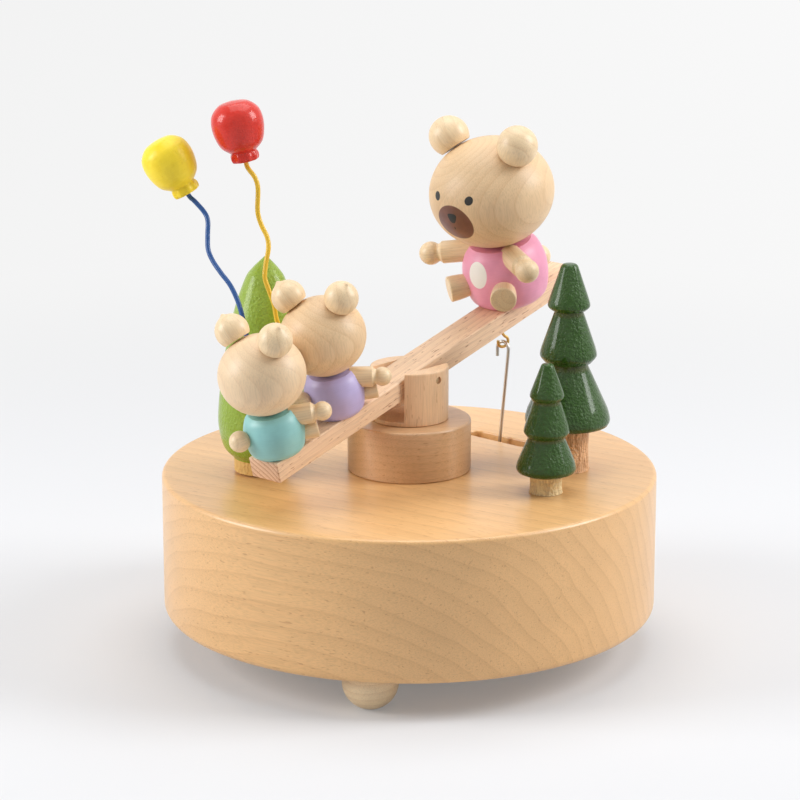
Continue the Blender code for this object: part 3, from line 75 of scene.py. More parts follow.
def levels(node):
    """A node's lowest and highest level, in millimetres."""
    return tuple(corner.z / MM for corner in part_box(node))


def toned(colour, share, lift=0.0):
    """A darker or paler form of a colour."""
    return tuple(min(value * share + lift, 1.0) for value in colour)


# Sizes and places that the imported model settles, in metres
DRUM_LOW, DRUM_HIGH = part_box("base_drum")
DRUM_BOTTOM, DRUM_TOP = DRUM_LOW.z, DRUM_HIGH.z
PEDESTAL_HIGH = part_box("pedestal_disc")[1]
POST_LOW, POST_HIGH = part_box("fulcrum_post")
FEET = [f"foot_{index + 1}" for index in range(3)]
SCREWS = ([f"cover_screw_{index + 1}" for index in range(3)]
          + [f"movement_screw_{index + 1}" for index in range(2)])
SCREW_SPOTS = [middle_of(node) + Vector((0, 0, DRUM_BOTTOM)) for node in SCREWS]
KEY_PLACE = Matrix.Translation((middle_of("winding_key").x, 0, 0))

# The seesaw's frame: its pivot over the drum's top and its tilt at rest
PIVOT = Vector((0.0, 0.0, DRUM_TOP + 22.4 * MM))
PLANK_TILT = math.radians(15.0)
SEESAW = Matrix.Translation(PIVOT) @ Matrix.Rotation(-PLANK_TILT, 4, "Y")
PLANK_LOW_END, PLANK_HIGH_END = 49.7 * MM, 58.0 * MM
PLANK_WIDTH, PLANK_THICKNESS = 8.6 * MM, 4.8 * MM
EYE_REACH, EYE_DROP, EYE_TURN = 32.9 * MM, 4.7 * MM, math.radians(23.0)
EYE = SEESAW @ Vector((EYE_REACH, 0.0, -PLANK_THICKNESS / 2 - EYE_DROP))
# The rod's slot in the drum's top
SLOT_MIDDLE, SLOT_DEPTH = EYE.x - 0.3 * MM, 8.0 * MM
SLOT_HALF_LENGTH, SLOT_HALF_WIDTH = 9.5 * MM, 2.2 * MM

# The bears' sizes in millimetres and degrees:
# head: half width, half height, height of its middle; body: radii at neck, belly and foot, height
# ear: radius, flat cut, tip, angle from the top; tail: radius, height, direction
# arm: radius, reach, hand radius, spread, height; leg: radius, reach, spread, height
BIG = {
    "head": (14.8, 12.9, 27.5), "body": (7.4, 10.15, 7.6, 14.9), "ear": (4.8, 1.9, 0.0, 36.5),
    "arm": (2.7, 17.2, 2.8, 59.7, 13.1), "leg": (3.1, 14.3, 36.3, 5.8), "tail": (2.9, 5.2, 180.0),
}
SMALL = {
    "head": (9.8, 9.0, 18.9), "body": (4.9, 6.8, 5.4, 9.9), "ear": (3.85, 1.6, 0.5, 33.3),
    "arm": (2.35, 11.4, 2.15, 49.0, 7.9), "leg": (1.95, 9.6, 38.0, 3.0), "tail": (2.4, 5.6, 160.0),
}
# Where each bear sits along the plank, in millimetres, and how the lilac one is posed
BIG_REACH, TEAL_REACH, LILAC_REACH = 38.0, -44.4, -24.3
LILAC_ARM_DROP = 9.0
LILAC_HEAD_TURN = math.radians(17.0)
LIMB_ROOT_SHARE = 0.6

# A face in head radii from the head's middle, and the belly's oval in body radii
MUZZLE_RISE, MUZZLE_TALL, MUZZLE_WIDE, MUZZLE_FULLER = -0.128, 0.305, 0.345, 0.018
NOSE_RISE, NOSE_TALL, NOSE_WIDE, NOSE_TAPER = -0.038, 0.082, 0.078, 0.030
MARK_RISE, MARK_STRETCH = -0.215, 1.9
EYE_SIDE, EYE_RISE = 0.321, 0.264
BELLY_RISE, BELLY_TALL, BELLY_WIDE = 0.985, 0.315, 0.262

# The balloons' wires, each point counted from the hand that holds it, in millimetres
BLUE_WIRE = (
    (0.0, 0.0, 0.0), (-0.5, 0.8, 2.6), (-1.0, 2.0, 5.6), (-1.4, 4.0, 11.5), (-1.0, 5.8, 16.2),
    (-0.4, 8.0, 20.4), (-0.1, 10.8, 24.0), (-0.1, 13.8, 26.5), (0.1, 16.6, 28.9),
    (0.5, 18.4, 31.2), (1.5, 19.5, 34.1), (2.5, 20.4, 37.1), (2.8, 21.8, 38.9),
    (2.1, 24.1, 41.2), (1.7, 26.0, 42.9))
YELLOW_WIRE = (
    (0.0, 0.0, 0.0), (-0.8, 0.6, 2.6), (-3.4, 2.4, 4.6), (-6.6, 4.2, 6.2), (-8.8, 5.4, 8.2),
    (-9.9, 6.1, 11.0), (-10.3, 6.6, 14.7), (-10.8, 7.8, 18.1), (-10.9, 8.8, 20.8),
    (-10.0, 9.2, 24.0), (-8.9, 9.5, 27.0), (-8.4, 10.4, 29.4), (-8.5, 12.1, 32.0),
    (-8.6, 13.1, 35.0), (-7.9, 13.6, 40.0), (-7.9, 14.5, 42.4), (-8.5, 15.8, 44.2),
    (-8.6, 16.7, 46.1))

# Wires' radii in metres, the balloons' radii in millimetres and the directions they lean to
BALLOON_WIRE, ROD_WIRE, EYE_WIRE = 0.55 * MM, 0.4 * MM, 0.35 * MM
YELLOW_RADIUS, YELLOW_AXIS = 5.9, (-2.45, 2.8, 6.6)
RED_RADIUS, RED_AXIS = 5.95, (-1.0, 1.2, 7.6)

# The band attribute on a tree: 0 paint, 1 a neck, 2 bare trunk, 3 rough trunk
BARE, BARK = 2.0, 3.0
# A pine in millimetres: its spot on the drum; each tier's skirt radius, its height and the
# height under it; a neck's share of its skirt; the tip's radius, the height, the trunk's
# radius and the trunk's band
LARGE_PINE = ((23.9, -27.8), ((4.9, 39.0, 37.6), (6.6, 27.4, 25.2), (9.9, 12.0, 9.8)),
              0.68, 2.2, 48.7, 5.1, BARK)
SMALL_PINE = ((5.6, -36.5), ((3.9, 22.6, 21.4), (5.2, 14.4, 13.0), (6.8, 5.8, 4.0)),
              0.8, 1.6, 30.0, 3.7, BARE)

# The grain's patterns: the noise's scales across, beside and along the fibres, per millimetre
DRIFT, CLOUDS = (0.05, 0.05, 0.018), (0.12, 0.12, 0.05)
FIBRES, DASHES = (4.2, 4.2, 0.16), (2.3, 2.3, 0.42)
RING_STOPS = tuple((position, (grey, grey, grey, 1.0)) for position, grey in (
    (0.0, 0.0), (0.45, 0.10), (0.84, 0.55), (0.93, 1.0), (1.0, 0.0)))

# The lamps: name, place as right, away and up from the drum's middle, width and height
LAMPS = (("left", (-0.62, -0.10, 0.32), 0.30, 0.38),
         ("right", (0.60, -0.02, 0.45), 0.30, 0.38),
         ("top", (0.0, 0.14, 0.78), 0.70, 0.60))

# The photograph's camera, round the middle of the drum's top
CAMERA_DISTANCE = 700.0 * MM
CAMERA_RISE = math.radians(16.138)
CAMERA_TURN = math.radians(48.2)
CAMERA_YAW = math.radians(-0.1835)
CAMERA_PITCH = math.radians(14.858)
CAMERA_LENS = 135.09
SCREEN_RIGHT = Vector((math.cos(CAMERA_TURN), -math.sin(CAMERA_TURN), 0.0))
SCREEN_AWAY = Vector((math.sin(CAMERA_TURN), math.cos(CAMERA_TURN), 0.0))


def colour_setting(name, red, green, blue):
    return FloatVectorProperty(
        name=name, description=f"Colour of the {name.lower()}", subtype="COLOR", size=3,
        min=0.0, max=1.0, default=srgb(red, green, blue))


class MUSICBOX_PG_sizes(bpy.types.PropertyGroup):
    """How finely the pieces are turned, and the sizes of their small details."""
    sides: IntProperty(
        name="Turning Steps", description="Faces round a turned piece", default=96, min=24)
    wire_sides: IntProperty(
        name="Wire Sides", description="Faces round a wire", default=20, min=8)
    wire_step: FloatProperty(
        name="Wire Step", description="Length of one step along a wire",
        default=0.35 * MM, unit="LENGTH", precision=5)
    soft_edge: FloatProperty(
        name="Soft Edge", description="Rounding of a turned piece's corners",
        default=0.35 * MM, unit="LENGTH", precision=5)
    slot_edge: FloatProperty(
        name="Slot Edge", description="Rounding of the rod slot's mouth",
        default=0.45 * MM, unit="LENGTH", precision=5)
    knot_flutes: IntProperty(
        name="Knot Flutes", description="Flutes round a balloon's knot", default=9, min=0)
    feet: IntProperty(name="Feet", description="Number of ball feet", default=3, min=3)


class MUSICBOX_PG_colours(bpy.types.PropertyGroup):
    """The colours of the woods, paints and metals."""
    drum_wood: colour_setting("Drum Wood", 234, 185, 124)
    drum_line: colour_setting("Drum Grain Lines", 190, 132, 78)
    post_wood: colour_setting("Post Wood", 246, 206, 164)
    post_line: colour_setting("Post Grain Lines", 190, 138, 94)
    # Painted shade: the pedestal's colour is the post's wood made darker, for the shade on the
    # pedestal's middle
    pedestal_wood: colour_setting("Pedestal Wood With Painted Shade", 222, 179, 134)
    plank_wood: colour_setting("Plank Wood", 245, 209, 173)
    plank_line: colour_setting("Plank Grain Lines", 176, 118, 84)
    head_wood: colour_setting("Head Wood", 234, 201, 158)
    pale_wood: colour_setting("Paler Head Wood", 96, 92, 84)
    head_line: colour_setting("Head Grain Lines", 206, 160, 112)
    limb_wood: colour_setting("Limb Wood", 241, 214, 173)
    limb_line: colour_setting("Limb Grain Lines", 204, 160, 108)
    board_wood: colour_setting("Cover Board", 214, 178, 130)
    board_line: colour_setting("Cover Board Lines", 176, 134, 92)
    pink: colour_setting("Pink Paint", 231, 150, 179)
    teal: colour_setting("Teal Paint", 136, 194, 192)
    lilac: colour_setting("Lilac Paint", 184, 172, 218)
    pine: colour_setting("Pine Paint", 42, 78, 8)
    pine_neck: colour_setting("Pine Neck Paint", 72, 84, 34)
    pine_trunk: colour_setting("Small Pine Trunk", 243, 220, 170)
    leaf: colour_setting("Leaf Paint", 142, 168, 54)
    leaf_trunk: colour_setting("Leaf Tree Trunk", 224, 186, 116)
    bark: colour_setting("Large Pine Trunk", 240, 194, 150)
    bark_line: colour_setting("Trunk Streaks", 164, 112, 74)
    yellow: colour_setting("Yellow Paint", 250, 218, 52)
    red: colour_setting("Red Paint", 212, 44, 28)
    blue_coat: colour_setting("Blue Wire Coat", 46, 88, 150)
    yellow_coat: colour_setting("Yellow Wire Coat", 243, 198, 58)
    belly: colour_setting("Belly Patch", 244, 240, 234)
    muzzle: colour_setting("Muzzle Paint", 112, 68, 52)
    thin_muzzle: colour_setting("Thin Muzzle Paint", 134, 84, 64)
    nose: colour_setting("Nose And Eye Paint", 26, 24, 22)
    steel: colour_setting("Steel", 196, 192, 186)
    dull_steel: colour_setting("Dull Steel", 206, 174, 138)
    brass: colour_setting("Brass", 214, 176, 106)


class MUSICBOX_PG_stage(bpy.types.PropertyGroup):
    """The plain pale studio."""
    floor: colour_setting("Floor", 221, 222, 225)
    backdrop: FloatProperty(
        name="Backdrop", description="Brightness of the backdrop as seen, 1 is white",
        default=0.92, min=0.0, max=1.0)
    floor_glow: FloatProperty(
        name="Floor Glow", description="Share of the backdrop's brightness in the floor as seen",
        default=0.2, min=0.0, max=1.0)
    far_glow: FloatProperty(
        name="Far Glow", description="The same share where the floor is far from the piece",
        default=1.0, min=0.0, max=1.0)
    ambient: FloatProperty(
        name="Ambient", description="Strength of the soft light from all round",
        default=0.25, min=0.0)
    left_lamp: FloatProperty(
        name="Left Lamp", description="Power of the left panel", default=3.2, unit="POWER")
    right_lamp: FloatProperty(
        name="Right Lamp", description="Power of the right panel", default=3.7, unit="POWER")
    top_lamp: FloatProperty(
        name="Top Lamp", description="Power of the top panel", default=3.3, unit="POWER")


def maths(operation, swapped=False):
    """A method that adds a Math node; swapped where the socket stands behind its operator."""
    def method(self, *values):
        order = (*values, self) if swapped else (self, *values)
        return self.nodes.node("ShaderNodeMath", {"operation": operation},
                               dict(enumerate(order)))
    return method


class Socket:
    """A node's output in an expression: each operator adds its Math node."""
    __add__, __radd__ = maths("ADD"), maths("ADD", True)
    __sub__, __rsub__ = maths("SUBTRACT"), maths("SUBTRACT", True)
    __mul__, __rmul__ = maths("MULTIPLY"), maths("MULTIPLY", True)
    __truediv__, __pow__, __abs__ = maths("DIVIDE"), maths("POWER"), maths("ABSOLUTE")
    fraction, root, rounded = maths("FRACT"), maths("SQRT"), maths("ROUND")
    sine, cosine = maths("SINE"), maths("COSINE")
    least, most = maths("MINIMUM"), maths("MAXIMUM")

    def __init__(self, nodes, link):
        self.nodes = nodes
        self.link = link

    def other(self, name):
        """Another output of the same node."""
        return Socket(self.nodes, self.link.node.outputs[name])

    def step(self, low, high):
        """0 below low, 1 above high and smooth between; falls if low is above high."""
        return self.nodes.node(
            "ShaderNodeMapRange", {"interpolation_type": "SMOOTHSTEP"},
            {"Value": self, "From Min": low, "From Max": high})


class Nodes:
    """A node tree that is written as expressions."""

    def __init__(self, tree):
        self.tree = tree
        tree.nodes.clear()

    def node(self, kind, settings=None, inputs=None, output=0):
        """Adds a node: its settings first, then the values or links of its sockets."""
        made = self.tree.nodes.new(kind)
        for key, value in (settings or {}).items():
            if key == "stops":
                ramp = made.color_ramp.elements
                while len(ramp) < len(value):
                    ramp.new(0.5)
                for element, (position, colour) in zip(ramp, value):
                    element.position = position
                    element.color = colour
            else:
                setattr(made, key, value)
        for key, value in (inputs or {}).items():
            if isinstance(value, Socket):
                self.tree.links.new(value.link, made.inputs[key])
            elif isinstance(value, tuple) and made.inputs[key].type == "RGBA":
                made.inputs[key].default_value = (*value[:3], 1.0)
            else:
                made.inputs[key].default_value = value
        return Socket(self, made.outputs[output])

    def split(self, vector):
        x = self.node("ShaderNodeSeparateXYZ", {}, {0: vector})
        return x, x.other("Y"), x.other("Z")


class Finish(Nodes):
    """A shader's node tree: a new material's, or the tree that is given."""

    def __init__(self, name="", tree=None):
        if tree is None:
            self.material = bpy.data.materials.new(name)
            self.material.use_nodes = True
            tree = self.material.node_tree
        super().__init__(tree)

    def attribute(self, name, output="Vector"):
        return self.node("ShaderNodeAttribute", {"attribute_name": name}, output=output)

    def place(self):
        """The surface's place in its object."""
        return self.node("ShaderNodeTexCoord", output="Object")

    def noise(self, vector, scale, detail=2.0, roughness=0.5, offset=None):
        """Soft noise over a vector that is first scaled, evenly or along each axis, then moved."""
        scale = scale if isinstance(scale, tuple) else (scale, scale, scale)
        spot = self.node("ShaderNodeVectorMath", {"operation": "MULTIPLY"}, {0: vector, 1: scale})
        if offset is not None:
            spot = self.node("ShaderNodeVectorMath", {"operation": "ADD"}, {0: spot, 1: offset})
        return self.node("ShaderNodeTexNoise", {}, {
            "Vector": spot, "Scale": 1.0, "Detail": detail, "Roughness": roughness})

    def mix(self, share, first, second, blend="MIX"):
        return self.node("ShaderNodeMix", {"data_type": "RGBA", "blend_type": blend},
                         {0: share, 6: first, 7: second}, output=2)

    def bump(self, height, strength, distance):
        return self.node("ShaderNodeBump", {},
                         {"Height": height, "Strength": strength, "Distance": distance})

    def surface(self, **sockets):
        """The Principled surface; underscores in the names stand for spaces."""
        inputs = {key.replace("_", " "): value for key, value in sockets.items()}
        self.end(self.node("ShaderNodeBsdfPrincipled", {}, inputs))
        return self.material

    def end(self, shader, kind="ShaderNodeOutputMaterial"):
        self.tree.links.new(shader.link, self.tree.nodes.new(kind).inputs[0])


def grain_colour(finish, tone, line, grain, sawn=None):
    """Solid wood: rings round the grain's axis, fibres along it, and short dark flecks.

    The grain holds the rings' spacing, the share of their lines, the share of the flecks and
    how far the rings wander; sawn is 1 where a board is cut across.
    """
    spacing, line_share, fleck_share, wander = grain
    if sawn is not None:
        line_share = line_share + sawn * 0.9
    spot = finish.attribute("grain")
    slow = finish.noise(spot, DRIFT)
    across, beside, _ = finish.split(spot)
    radius = (across * across + beside * beside).root() + (slow - 0.5) * wander
    phase = (radius / spacing).fraction()
    ring = finish.node("ShaderNodeValToRGB", {"stops": RING_STOPS}, {0: phase})
    fibres = finish.noise(spot, FIBRES, 3.0, 0.6)
    fleck = finish.noise(spot, DASHES, 1.0, offset=(9.0, 4.0, 2.0)).step(0.64, 0.74)
    cloud = finish.noise(spot, CLOUDS)
    colour = finish.mix(ring * (0.45 + 0.9 * slow) * line_share, tone, line)
    colour = finish.mix(fleck * fleck_share, colour, line)
    shade = 0.87 + 0.13 * fibres.step(0.30, 0.62) + (cloud - 0.5) * 0.14
    grey = finish.node("ShaderNodeCombineColor", {}, {0: shade, 1: shade, 2: shade})
    colour = finish.mix(1.0, colour, grey, "MULTIPLY")
    if sawn is not None:
        colour = finish.mix(sawn * 0.3, colour, line)
    return colour, fibres, fleck


def wood(name, tone, line, grain, roughness=0.5, coat=0.0, coat_roughness=0.2, relief=0.25,
         ends=None):
    """Bare or lacquered wood; where a board ends, its sawn rings show more."""
    finish = Finish(name)
    sawn = None
    if ends is not None:
        along = finish.split(finish.attribute("place"))[0]
        low, high = ((end - 0.35, end - 0.2) for end in ends)
        sawn = (0.0 - along).step(*low).most(along.step(*high))
    colour, fibres, fleck = grain_colour(finish, tone, line, grain, sawn)
    return finish.surface(
        Base_Color=colour, Roughness=roughness + (fibres - 0.5) * 0.18,
        Specular_IOR_Level=0.5, Coat_Weight=coat, Coat_Roughness=coat_roughness,
        Normal=finish.bump(fibres * 0.6 - fleck, relief, 0.05 * MM))


def head_finish(tone):
    """Bare wood with the painted eyes, muzzle and nose, placed in head radii."""
    finish = Finish("head_wood")
    colour, fibres, fleck = grain_colour(finish, tone["head_wood"], tone["head_line"],
                                         (1.7, 0.32, 0.12, 4.0))
    spot = finish.attribute("place")
    front, side, up = finish.split(spot)
    before = front.step(0.2, 0.25)
    # The muzzle is an oval that is a little fuller below
    height = (up - MUZZLE_RISE) / MUZZLE_TALL
    width = side / (MUZZLE_WIDE - height * MUZZLE_FULLER)
    oval = (width * width + height * height).root()
    muzzle = (1.0 - (oval - 1.0).step(-0.022, 0.022)) * before
    thin = finish.noise(spot, 7.0).step(0.35, 0.7) * 0.5
    colour = finish.mix(muzzle, colour, finish.mix(thin, tone["muzzle"], tone["thin_muzzle"]))
    # The nose is a rounded triangle with its point down, over a tiny mark
    rise = (up - NOSE_RISE) / NOSE_TALL
    half = abs(side) / (NOSE_WIDE + rise * NOSE_TAPER).most(0.03)
    nose = (1.0 - (half ** 3.0 + abs(rise) ** 3.0).step(0.86, 1.16)) * before
    mark = ((side * side) + ((up - MARK_RISE) / MARK_STRETCH) ** 2.0).root()
    mark = (1.0 - mark.step(0.011, 0.016)) * before
    away = ((abs(side) - EYE_SIDE) ** 2.0 + (up - EYE_RISE) ** 2.0).root()
    eye = (1.0 - away.step(0.064, 0.071)) * before
    # A head turned from paler wood
    pale = finish.attribute("pale", "Fac") * (1.0 - muzzle)
    colour = finish.mix(pale, colour, tone["pale_wood"], "SCREEN")
    colour = finish.mix(nose.most(mark).most(eye), colour, tone["nose"])
    paint = muzzle.most(eye)
    bare = 1.0 - paint
    return finish.surface(
        Base_Color=colour, Roughness=(0.47 + (fibres - 0.5) * 0.16) * bare + paint * 0.34,
        Specular_IOR_Level=0.45, Coat_Weight=0.15, Coat_Roughness=0.28,
        Normal=finish.bump((fibres * 0.5 - fleck) * bare + paint * 0.8, 0.2, 0.04 * MM))


def paint_over_wood(finish, colour, ring_scale=5.0, depth=0.10):
    """A thin paint whose turning lines and pores show faintly; returns colour and height."""
    spot = finish.attribute("grain")
    lines = finish.noise(spot, (0.35, 0.35, ring_scale), 3.0, 0.6)
    cloud = finish.noise(spot, (0.28, 0.28, 0.2))
    pores = finish.noise(spot, (3.6, 3.6, 1.2), 1.0).step(0.68, 0.78)
    tint = finish.mix(cloud.step(0.3, 0.7), toned(colour, 1.06, 0.02), colour)
    worn = lines.step(0.45, 0.75) * depth * 2 + pores * depth * 1.5
    return finish.mix(worn, tint, toned(colour, 0.78)), lines * 0.5 - pores * 0.6


def satin_paint(name, colour, patch):
    """A bear's shirt with the white oval on its belly."""
    finish = Finish(name)
    tint, height = paint_over_wood(finish, colour)
    front, side, up = finish.split(finish.attribute("place"))
    oval = ((side / BELLY_WIDE) ** 2.0 + ((up - BELLY_RISE) / BELLY_TALL) ** 2.0).root()
    white = (1.0 - (oval - 1.0).step(-0.025, 0.025)) * front.step(0.2, 0.3)
    height = height + white * 0.8
    return finish.surface(
        Base_Color=finish.mix(white, tint, patch), Roughness=0.42 + (height + 0.1) * 0.2,
        Coat_Weight=0.35, Coat_Roughness=0.32, Normal=finish.bump(height, 0.18, 0.05 * MM))


def gloss_paint(name, colour, neck=None, trunk=None, dapple=0.0, relief=0.3, coat=0.8,
                coat_roughness=0.12):
    """Glossy paint on turned wood; the band attribute leads to a neck tone and bare trunk.

    The trunk holds the colours of its plain wood, of its rough wood and of its streaks.
    """
    finish = Finish(name)
    tint, height = paint_over_wood(finish, colour, 3.5, 0.12)
    spot = finish.attribute("grain")
    bumps = finish.noise(spot, 1.5, 1.0)
    if dapple:
        worn = finish.noise(spot, (0.5, 0.5, 1.8), 4.0, 0.7).step(0.5, 0.72)
        tint = finish.mix(worn * dapple, tint, toned(colour, 1.6, 0.01))
    band = finish.attribute("band", "Fac")
    bare = band.step(1.45, 1.55)
    if neck is not None:
        ragged = band + (bumps - 0.5) * 0.3
        tint = finish.mix(ragged.step(0.45, 0.85), tint, neck)
    if trunk is not None:
        plain, rough, streak = trunk
        bark = band.step(2.3, 2.7)
        fibre = finish.noise(spot, (3.0, 3.0, 0.3), 3.0).step(0.4, 0.62)
        stem = finish.mix(fibre * (0.3 + bark * 0.4), finish.mix(bark, plain, rough), streak)
        tint = finish.mix(bare, tint, stem)
    return finish.surface(
        Base_Color=tint, Roughness=0.30 + (bumps - 0.5) * 0.12 + bare * 0.2,
        Coat_Weight=coat - bare * coat * 0.9, Coat_Roughness=coat_roughness, Coat_IOR=1.38,
        Specular_IOR_Level=0.12,
        Normal=finish.bump(height * 0.3 + bumps * relief, 0.8, 0.3 * MM))


def metal(name, colour, roughness):
    """Drawn or turned metal with fine lines and faint tarnish."""
    finish = Finish(name)
    spot = finish.place()
    fine = finish.noise(spot, (2500.0, 2500.0, 9000.0))
    cloud = finish.noise(spot, 180.0, 3.0)
    return finish.surface(
        Base_Color=finish.mix(cloud.step(0.35, 0.75) * 0.4, colour, toned(colour, 0.7)),
        Metallic=1.0, Roughness=roughness + (fine - 0.5) * 0.2 + cloud * 0.08,
        Normal=finish.bump(fine, 0.1, 0.01 * MM))


def coated_wire(name, colour):
    """A smooth coat on a formed wire, with small scuffs."""
    finish = Finish(name)
    spot = finish.place()
    scuff = finish.noise(spot, 900.0, 3.0)
    cloud = finish.noise(spot, 160.0, 1.0)
    tint = finish.mix(cloud, toned(colour, 0.86), colour)
    tint = finish.mix(scuff.step(0.62, 0.75) * 0.25, tint, toned(colour, 0.6))
    return finish.surface(
        Base_Color=tint, Roughness=0.34 + (scuff - 0.5) * 0.15, Specular_IOR_Level=0.2,
        Coat_Weight=0.3, Coat_Roughness=0.15, Normal=finish.bump(scuff, 0.12, 0.03 * MM))


def make_finishes(colours):
    """Every finish, made once and kept under the name of its record slot or piece."""
    tone = {name: tuple(getattr(colours, name)) for name in colours.__annotations__}
    streaks = (tone["bark"], tone["bark_line"])
    finishes = {
        "beech": wood("drum_wood", tone["drum_wood"], tone["drum_line"], (3.6, 0.28, 0.5, 6.0),
                      roughness=0.42, coat=0.55, coat_roughness=0.27, relief=0.15),
        "dark_beech": wood("post_wood", tone["post_wood"], tone["post_line"],
                           (2.8, 0.16, 0.4, 8.0), coat=0.3, coat_roughness=0.25),
        # The pedestal shares the post's record slot; its darker tone is painted shade
        "pedestal_beech": wood("pedestal_wood", tone["pedestal_wood"], tone["post_line"],
                               (1.9, 0.3, 0.6, 6.0), roughness=0.46, coat=0.5,
                               coat_roughness=0.26),
        "plank_beech": wood("plank_wood", tone["plank_wood"], tone["plank_line"],
                            (1.15, 0.3, 0.8, 5.0), roughness=0.52, coat=0.15,
                            coat_roughness=0.3, relief=0.4,
                            ends=(PLANK_LOW_END / MM, PLANK_HIGH_END / MM)),
        "plywood": wood("cover_board", tone["board_wood"], tone["board_line"],
                        (5.0, 0.4, 0.5, 16.0), roughness=0.6),
        "bear_wood": head_finish(tone),
        "maple": wood("limb_wood", tone["limb_wood"], tone["limb_line"], (1.9, 0.32, 0.18, 4.0),
                      roughness=0.46, coat=0.25, coat_roughness=0.25, relief=0.18),
        "steel": metal("steel", tone["steel"], 0.32),
        "dull_steel": metal("dull_steel", tone["dull_steel"], 0.45),
        "brass": metal("brass", tone["brass"], 0.28),
        "pine_paint": gloss_paint("pine_paint", tone["pine"], tone["pine_neck"],
                                  (tone["pine_trunk"], *streaks), dapple=0.35, relief=2.4,
                                  coat=0.7),
        "leaf_paint": gloss_paint("leaf_paint", tone["leaf"], tone["leaf"],
                                  (tone["leaf_trunk"], *streaks), relief=1.3, coat=0.6,
                                  coat_roughness=0.2),
        "yellow_paint": gloss_paint("yellow_paint", tone["yellow"], coat=0.3,
                                    coat_roughness=0.35),
        "red_paint": gloss_paint("red_paint", tone["red"], coat=0.65),
    }
    for name in ("pink", "teal", "lilac"):
        finishes[f"{name}_paint"] = satin_paint(f"{name}_paint", tone[name], tone["belly"])
    for name in ("blue_coat", "yellow_coat"):
        finishes[name] = coated_wire(name, tone[name])
    return finishes


class Tree(Nodes):
    """A geometry node tree with named inputs, the last of them the finish."""

    def __init__(self, name, *inputs):
        super().__init__(bpy.data.node_groups.new(name, "GeometryNodeTree"))
        interface = self.tree.interface
        for key, kind in (("Geometry", "Geometry"), *inputs, ("Finish", "Material")):
            interface.new_socket(key, in_out="INPUT", socket_type="NodeSocket" + kind)
        interface.new_socket("Geometry", in_out="OUTPUT", socket_type="NodeSocketGeometry")
        self.start = self.tree.nodes.new("NodeGroupInput")

    def given(self, name):
        return Socket(self, self.start.outputs[name])

    def finish(self, geometry):
        """Ends the tree in real geometry with its material."""
        real = self.node("GeometryNodeRealizeInstances", {}, {0: geometry})
        dressed = self.node("GeometryNodeSetMaterial", {}, {0: real, 2: self.given("Finish")})
        self.tree.links.new(dressed.link, self.tree.nodes.new("NodeGroupOutput").inputs[0])
        return self.tree


def turning_tree():
    """Turns a profile: each of its points gives a ring, and its band is kept on the ring."""
    made = Tree("Turning", ("Sides", "Int"), ("Flutes", "Int"), ("Flute Depth", "Float"))
    profile = made.given("Geometry")
    count = made.node("GeometryNodeAttributeDomainSize", {"component": "MESH"}, {0: profile})
    grid = made.node("GeometryNodeMeshGrid", {},
                     {0: 1.0, 1: 1.0, 2: count, 3: made.given("Sides") + 1.0})
    position = made.node("GeometryNodeInputPosition")
    across, around, _ = made.split(position)
    index = ((across + 0.5) * (count - 1.0)).rounded()
    point = made.node("GeometryNodeSampleIndex", {"data_type": "FLOAT_VECTOR", "domain": "POINT"},
                      {0: profile, 1: position, 2: index})
    radius, band, height = made.split(point)
    angle = (around + 0.5) * math.tau
    wave = (angle * made.given("Flutes")).cosine() * 0.5 + 0.5
    radius = radius * (1.0 - wave * band * made.given("Flute Depth"))
    banded = made.node("GeometryNodeStoreNamedAttribute", {"data_type": "FLOAT", "domain": "POINT"},
                       {0: grid, 2: "band", 3: band})
    spot = made.node("ShaderNodeCombineXYZ", {},
                     {0: radius * angle.cosine(), 1: radius * angle.sine(), 2: height})
    moved = made.node("GeometryNodeSetPosition", {}, {0: banded, 2: spot})
    return made.finish(made.node("GeometryNodeMergeByDistance", {}, {0: moved, 2: 0.0000005}))


def wire_tree():
    """Draws a round wire along a smooth curve through the points of a path."""
    made = Tree("Formed Wire", ("Radius", "Float"), ("Step", "Float"), ("Sides", "Int"))
    path = made.node("GeometryNodeMeshToCurve", {}, {0: made.given("Geometry")})
    smooth = made.node("GeometryNodeCurveSplineType", {"spline_type": "CATMULL_ROM"}, {0: path})
    even = made.node("GeometryNodeResampleCurve", {"mode": "LENGTH"},
                     {0: smooth, 3: made.given("Step")})
    ring = made.node("GeometryNodeCurvePrimitiveCircle", {},
                     {0: made.given("Sides"), 4: made.given("Radius")})
    drawn = made.node("GeometryNodeCurveToMesh", {}, {0: even, 1: ring, 3: True})
    return made.finish(made.node("GeometryNodeMergeByDistance", {}, {0: drawn, 2: 0.000001}))


def copies_tree():
    """Sets a copy of a model at each point of a mesh."""
    made = Tree("Copies", ("Model", "Object"))
    model = made.node("GeometryNodeObjectInfo", {"transform_space": "ORIGINAL"},
                      {0: made.given("Model")}, "Geometry")
    points = {0: made.given("Geometry"), 2: model}
    return made.finish(made.node("GeometryNodeInstanceOnPoints", {}, points))


def linked(name, data):
    """A new object in the scene."""
    item = bpy.data.objects.new(name, data)
    bpy.context.scene.collection.objects.link(item)
    return item


def plain_mesh(item):
    """The object's evaluated mesh as a plain one; the object is removed."""
    bpy.context.view_layer.update()
    graph = bpy.context.evaluated_depsgraph_get()
    made = bpy.data.meshes.new_from_object(item.evaluated_get(graph), depsgraph=graph)
    bpy.data.objects.remove(item)
    return made


def grow(tree, mesh, values):
    """Runs a geometry tree over a mesh with its named inputs set."""
    item = linked("working", mesh)
    modifier = item.modifiers.new("growth", "NODES")
    modifier.node_group = tree
    for entry in tree.interface.items_tree:
        if entry.item_type == "SOCKET" and entry.in_out == "INPUT" and entry.name in values:
            modifier[entry.identifier] = values[entry.name]
    return plain_mesh(item)


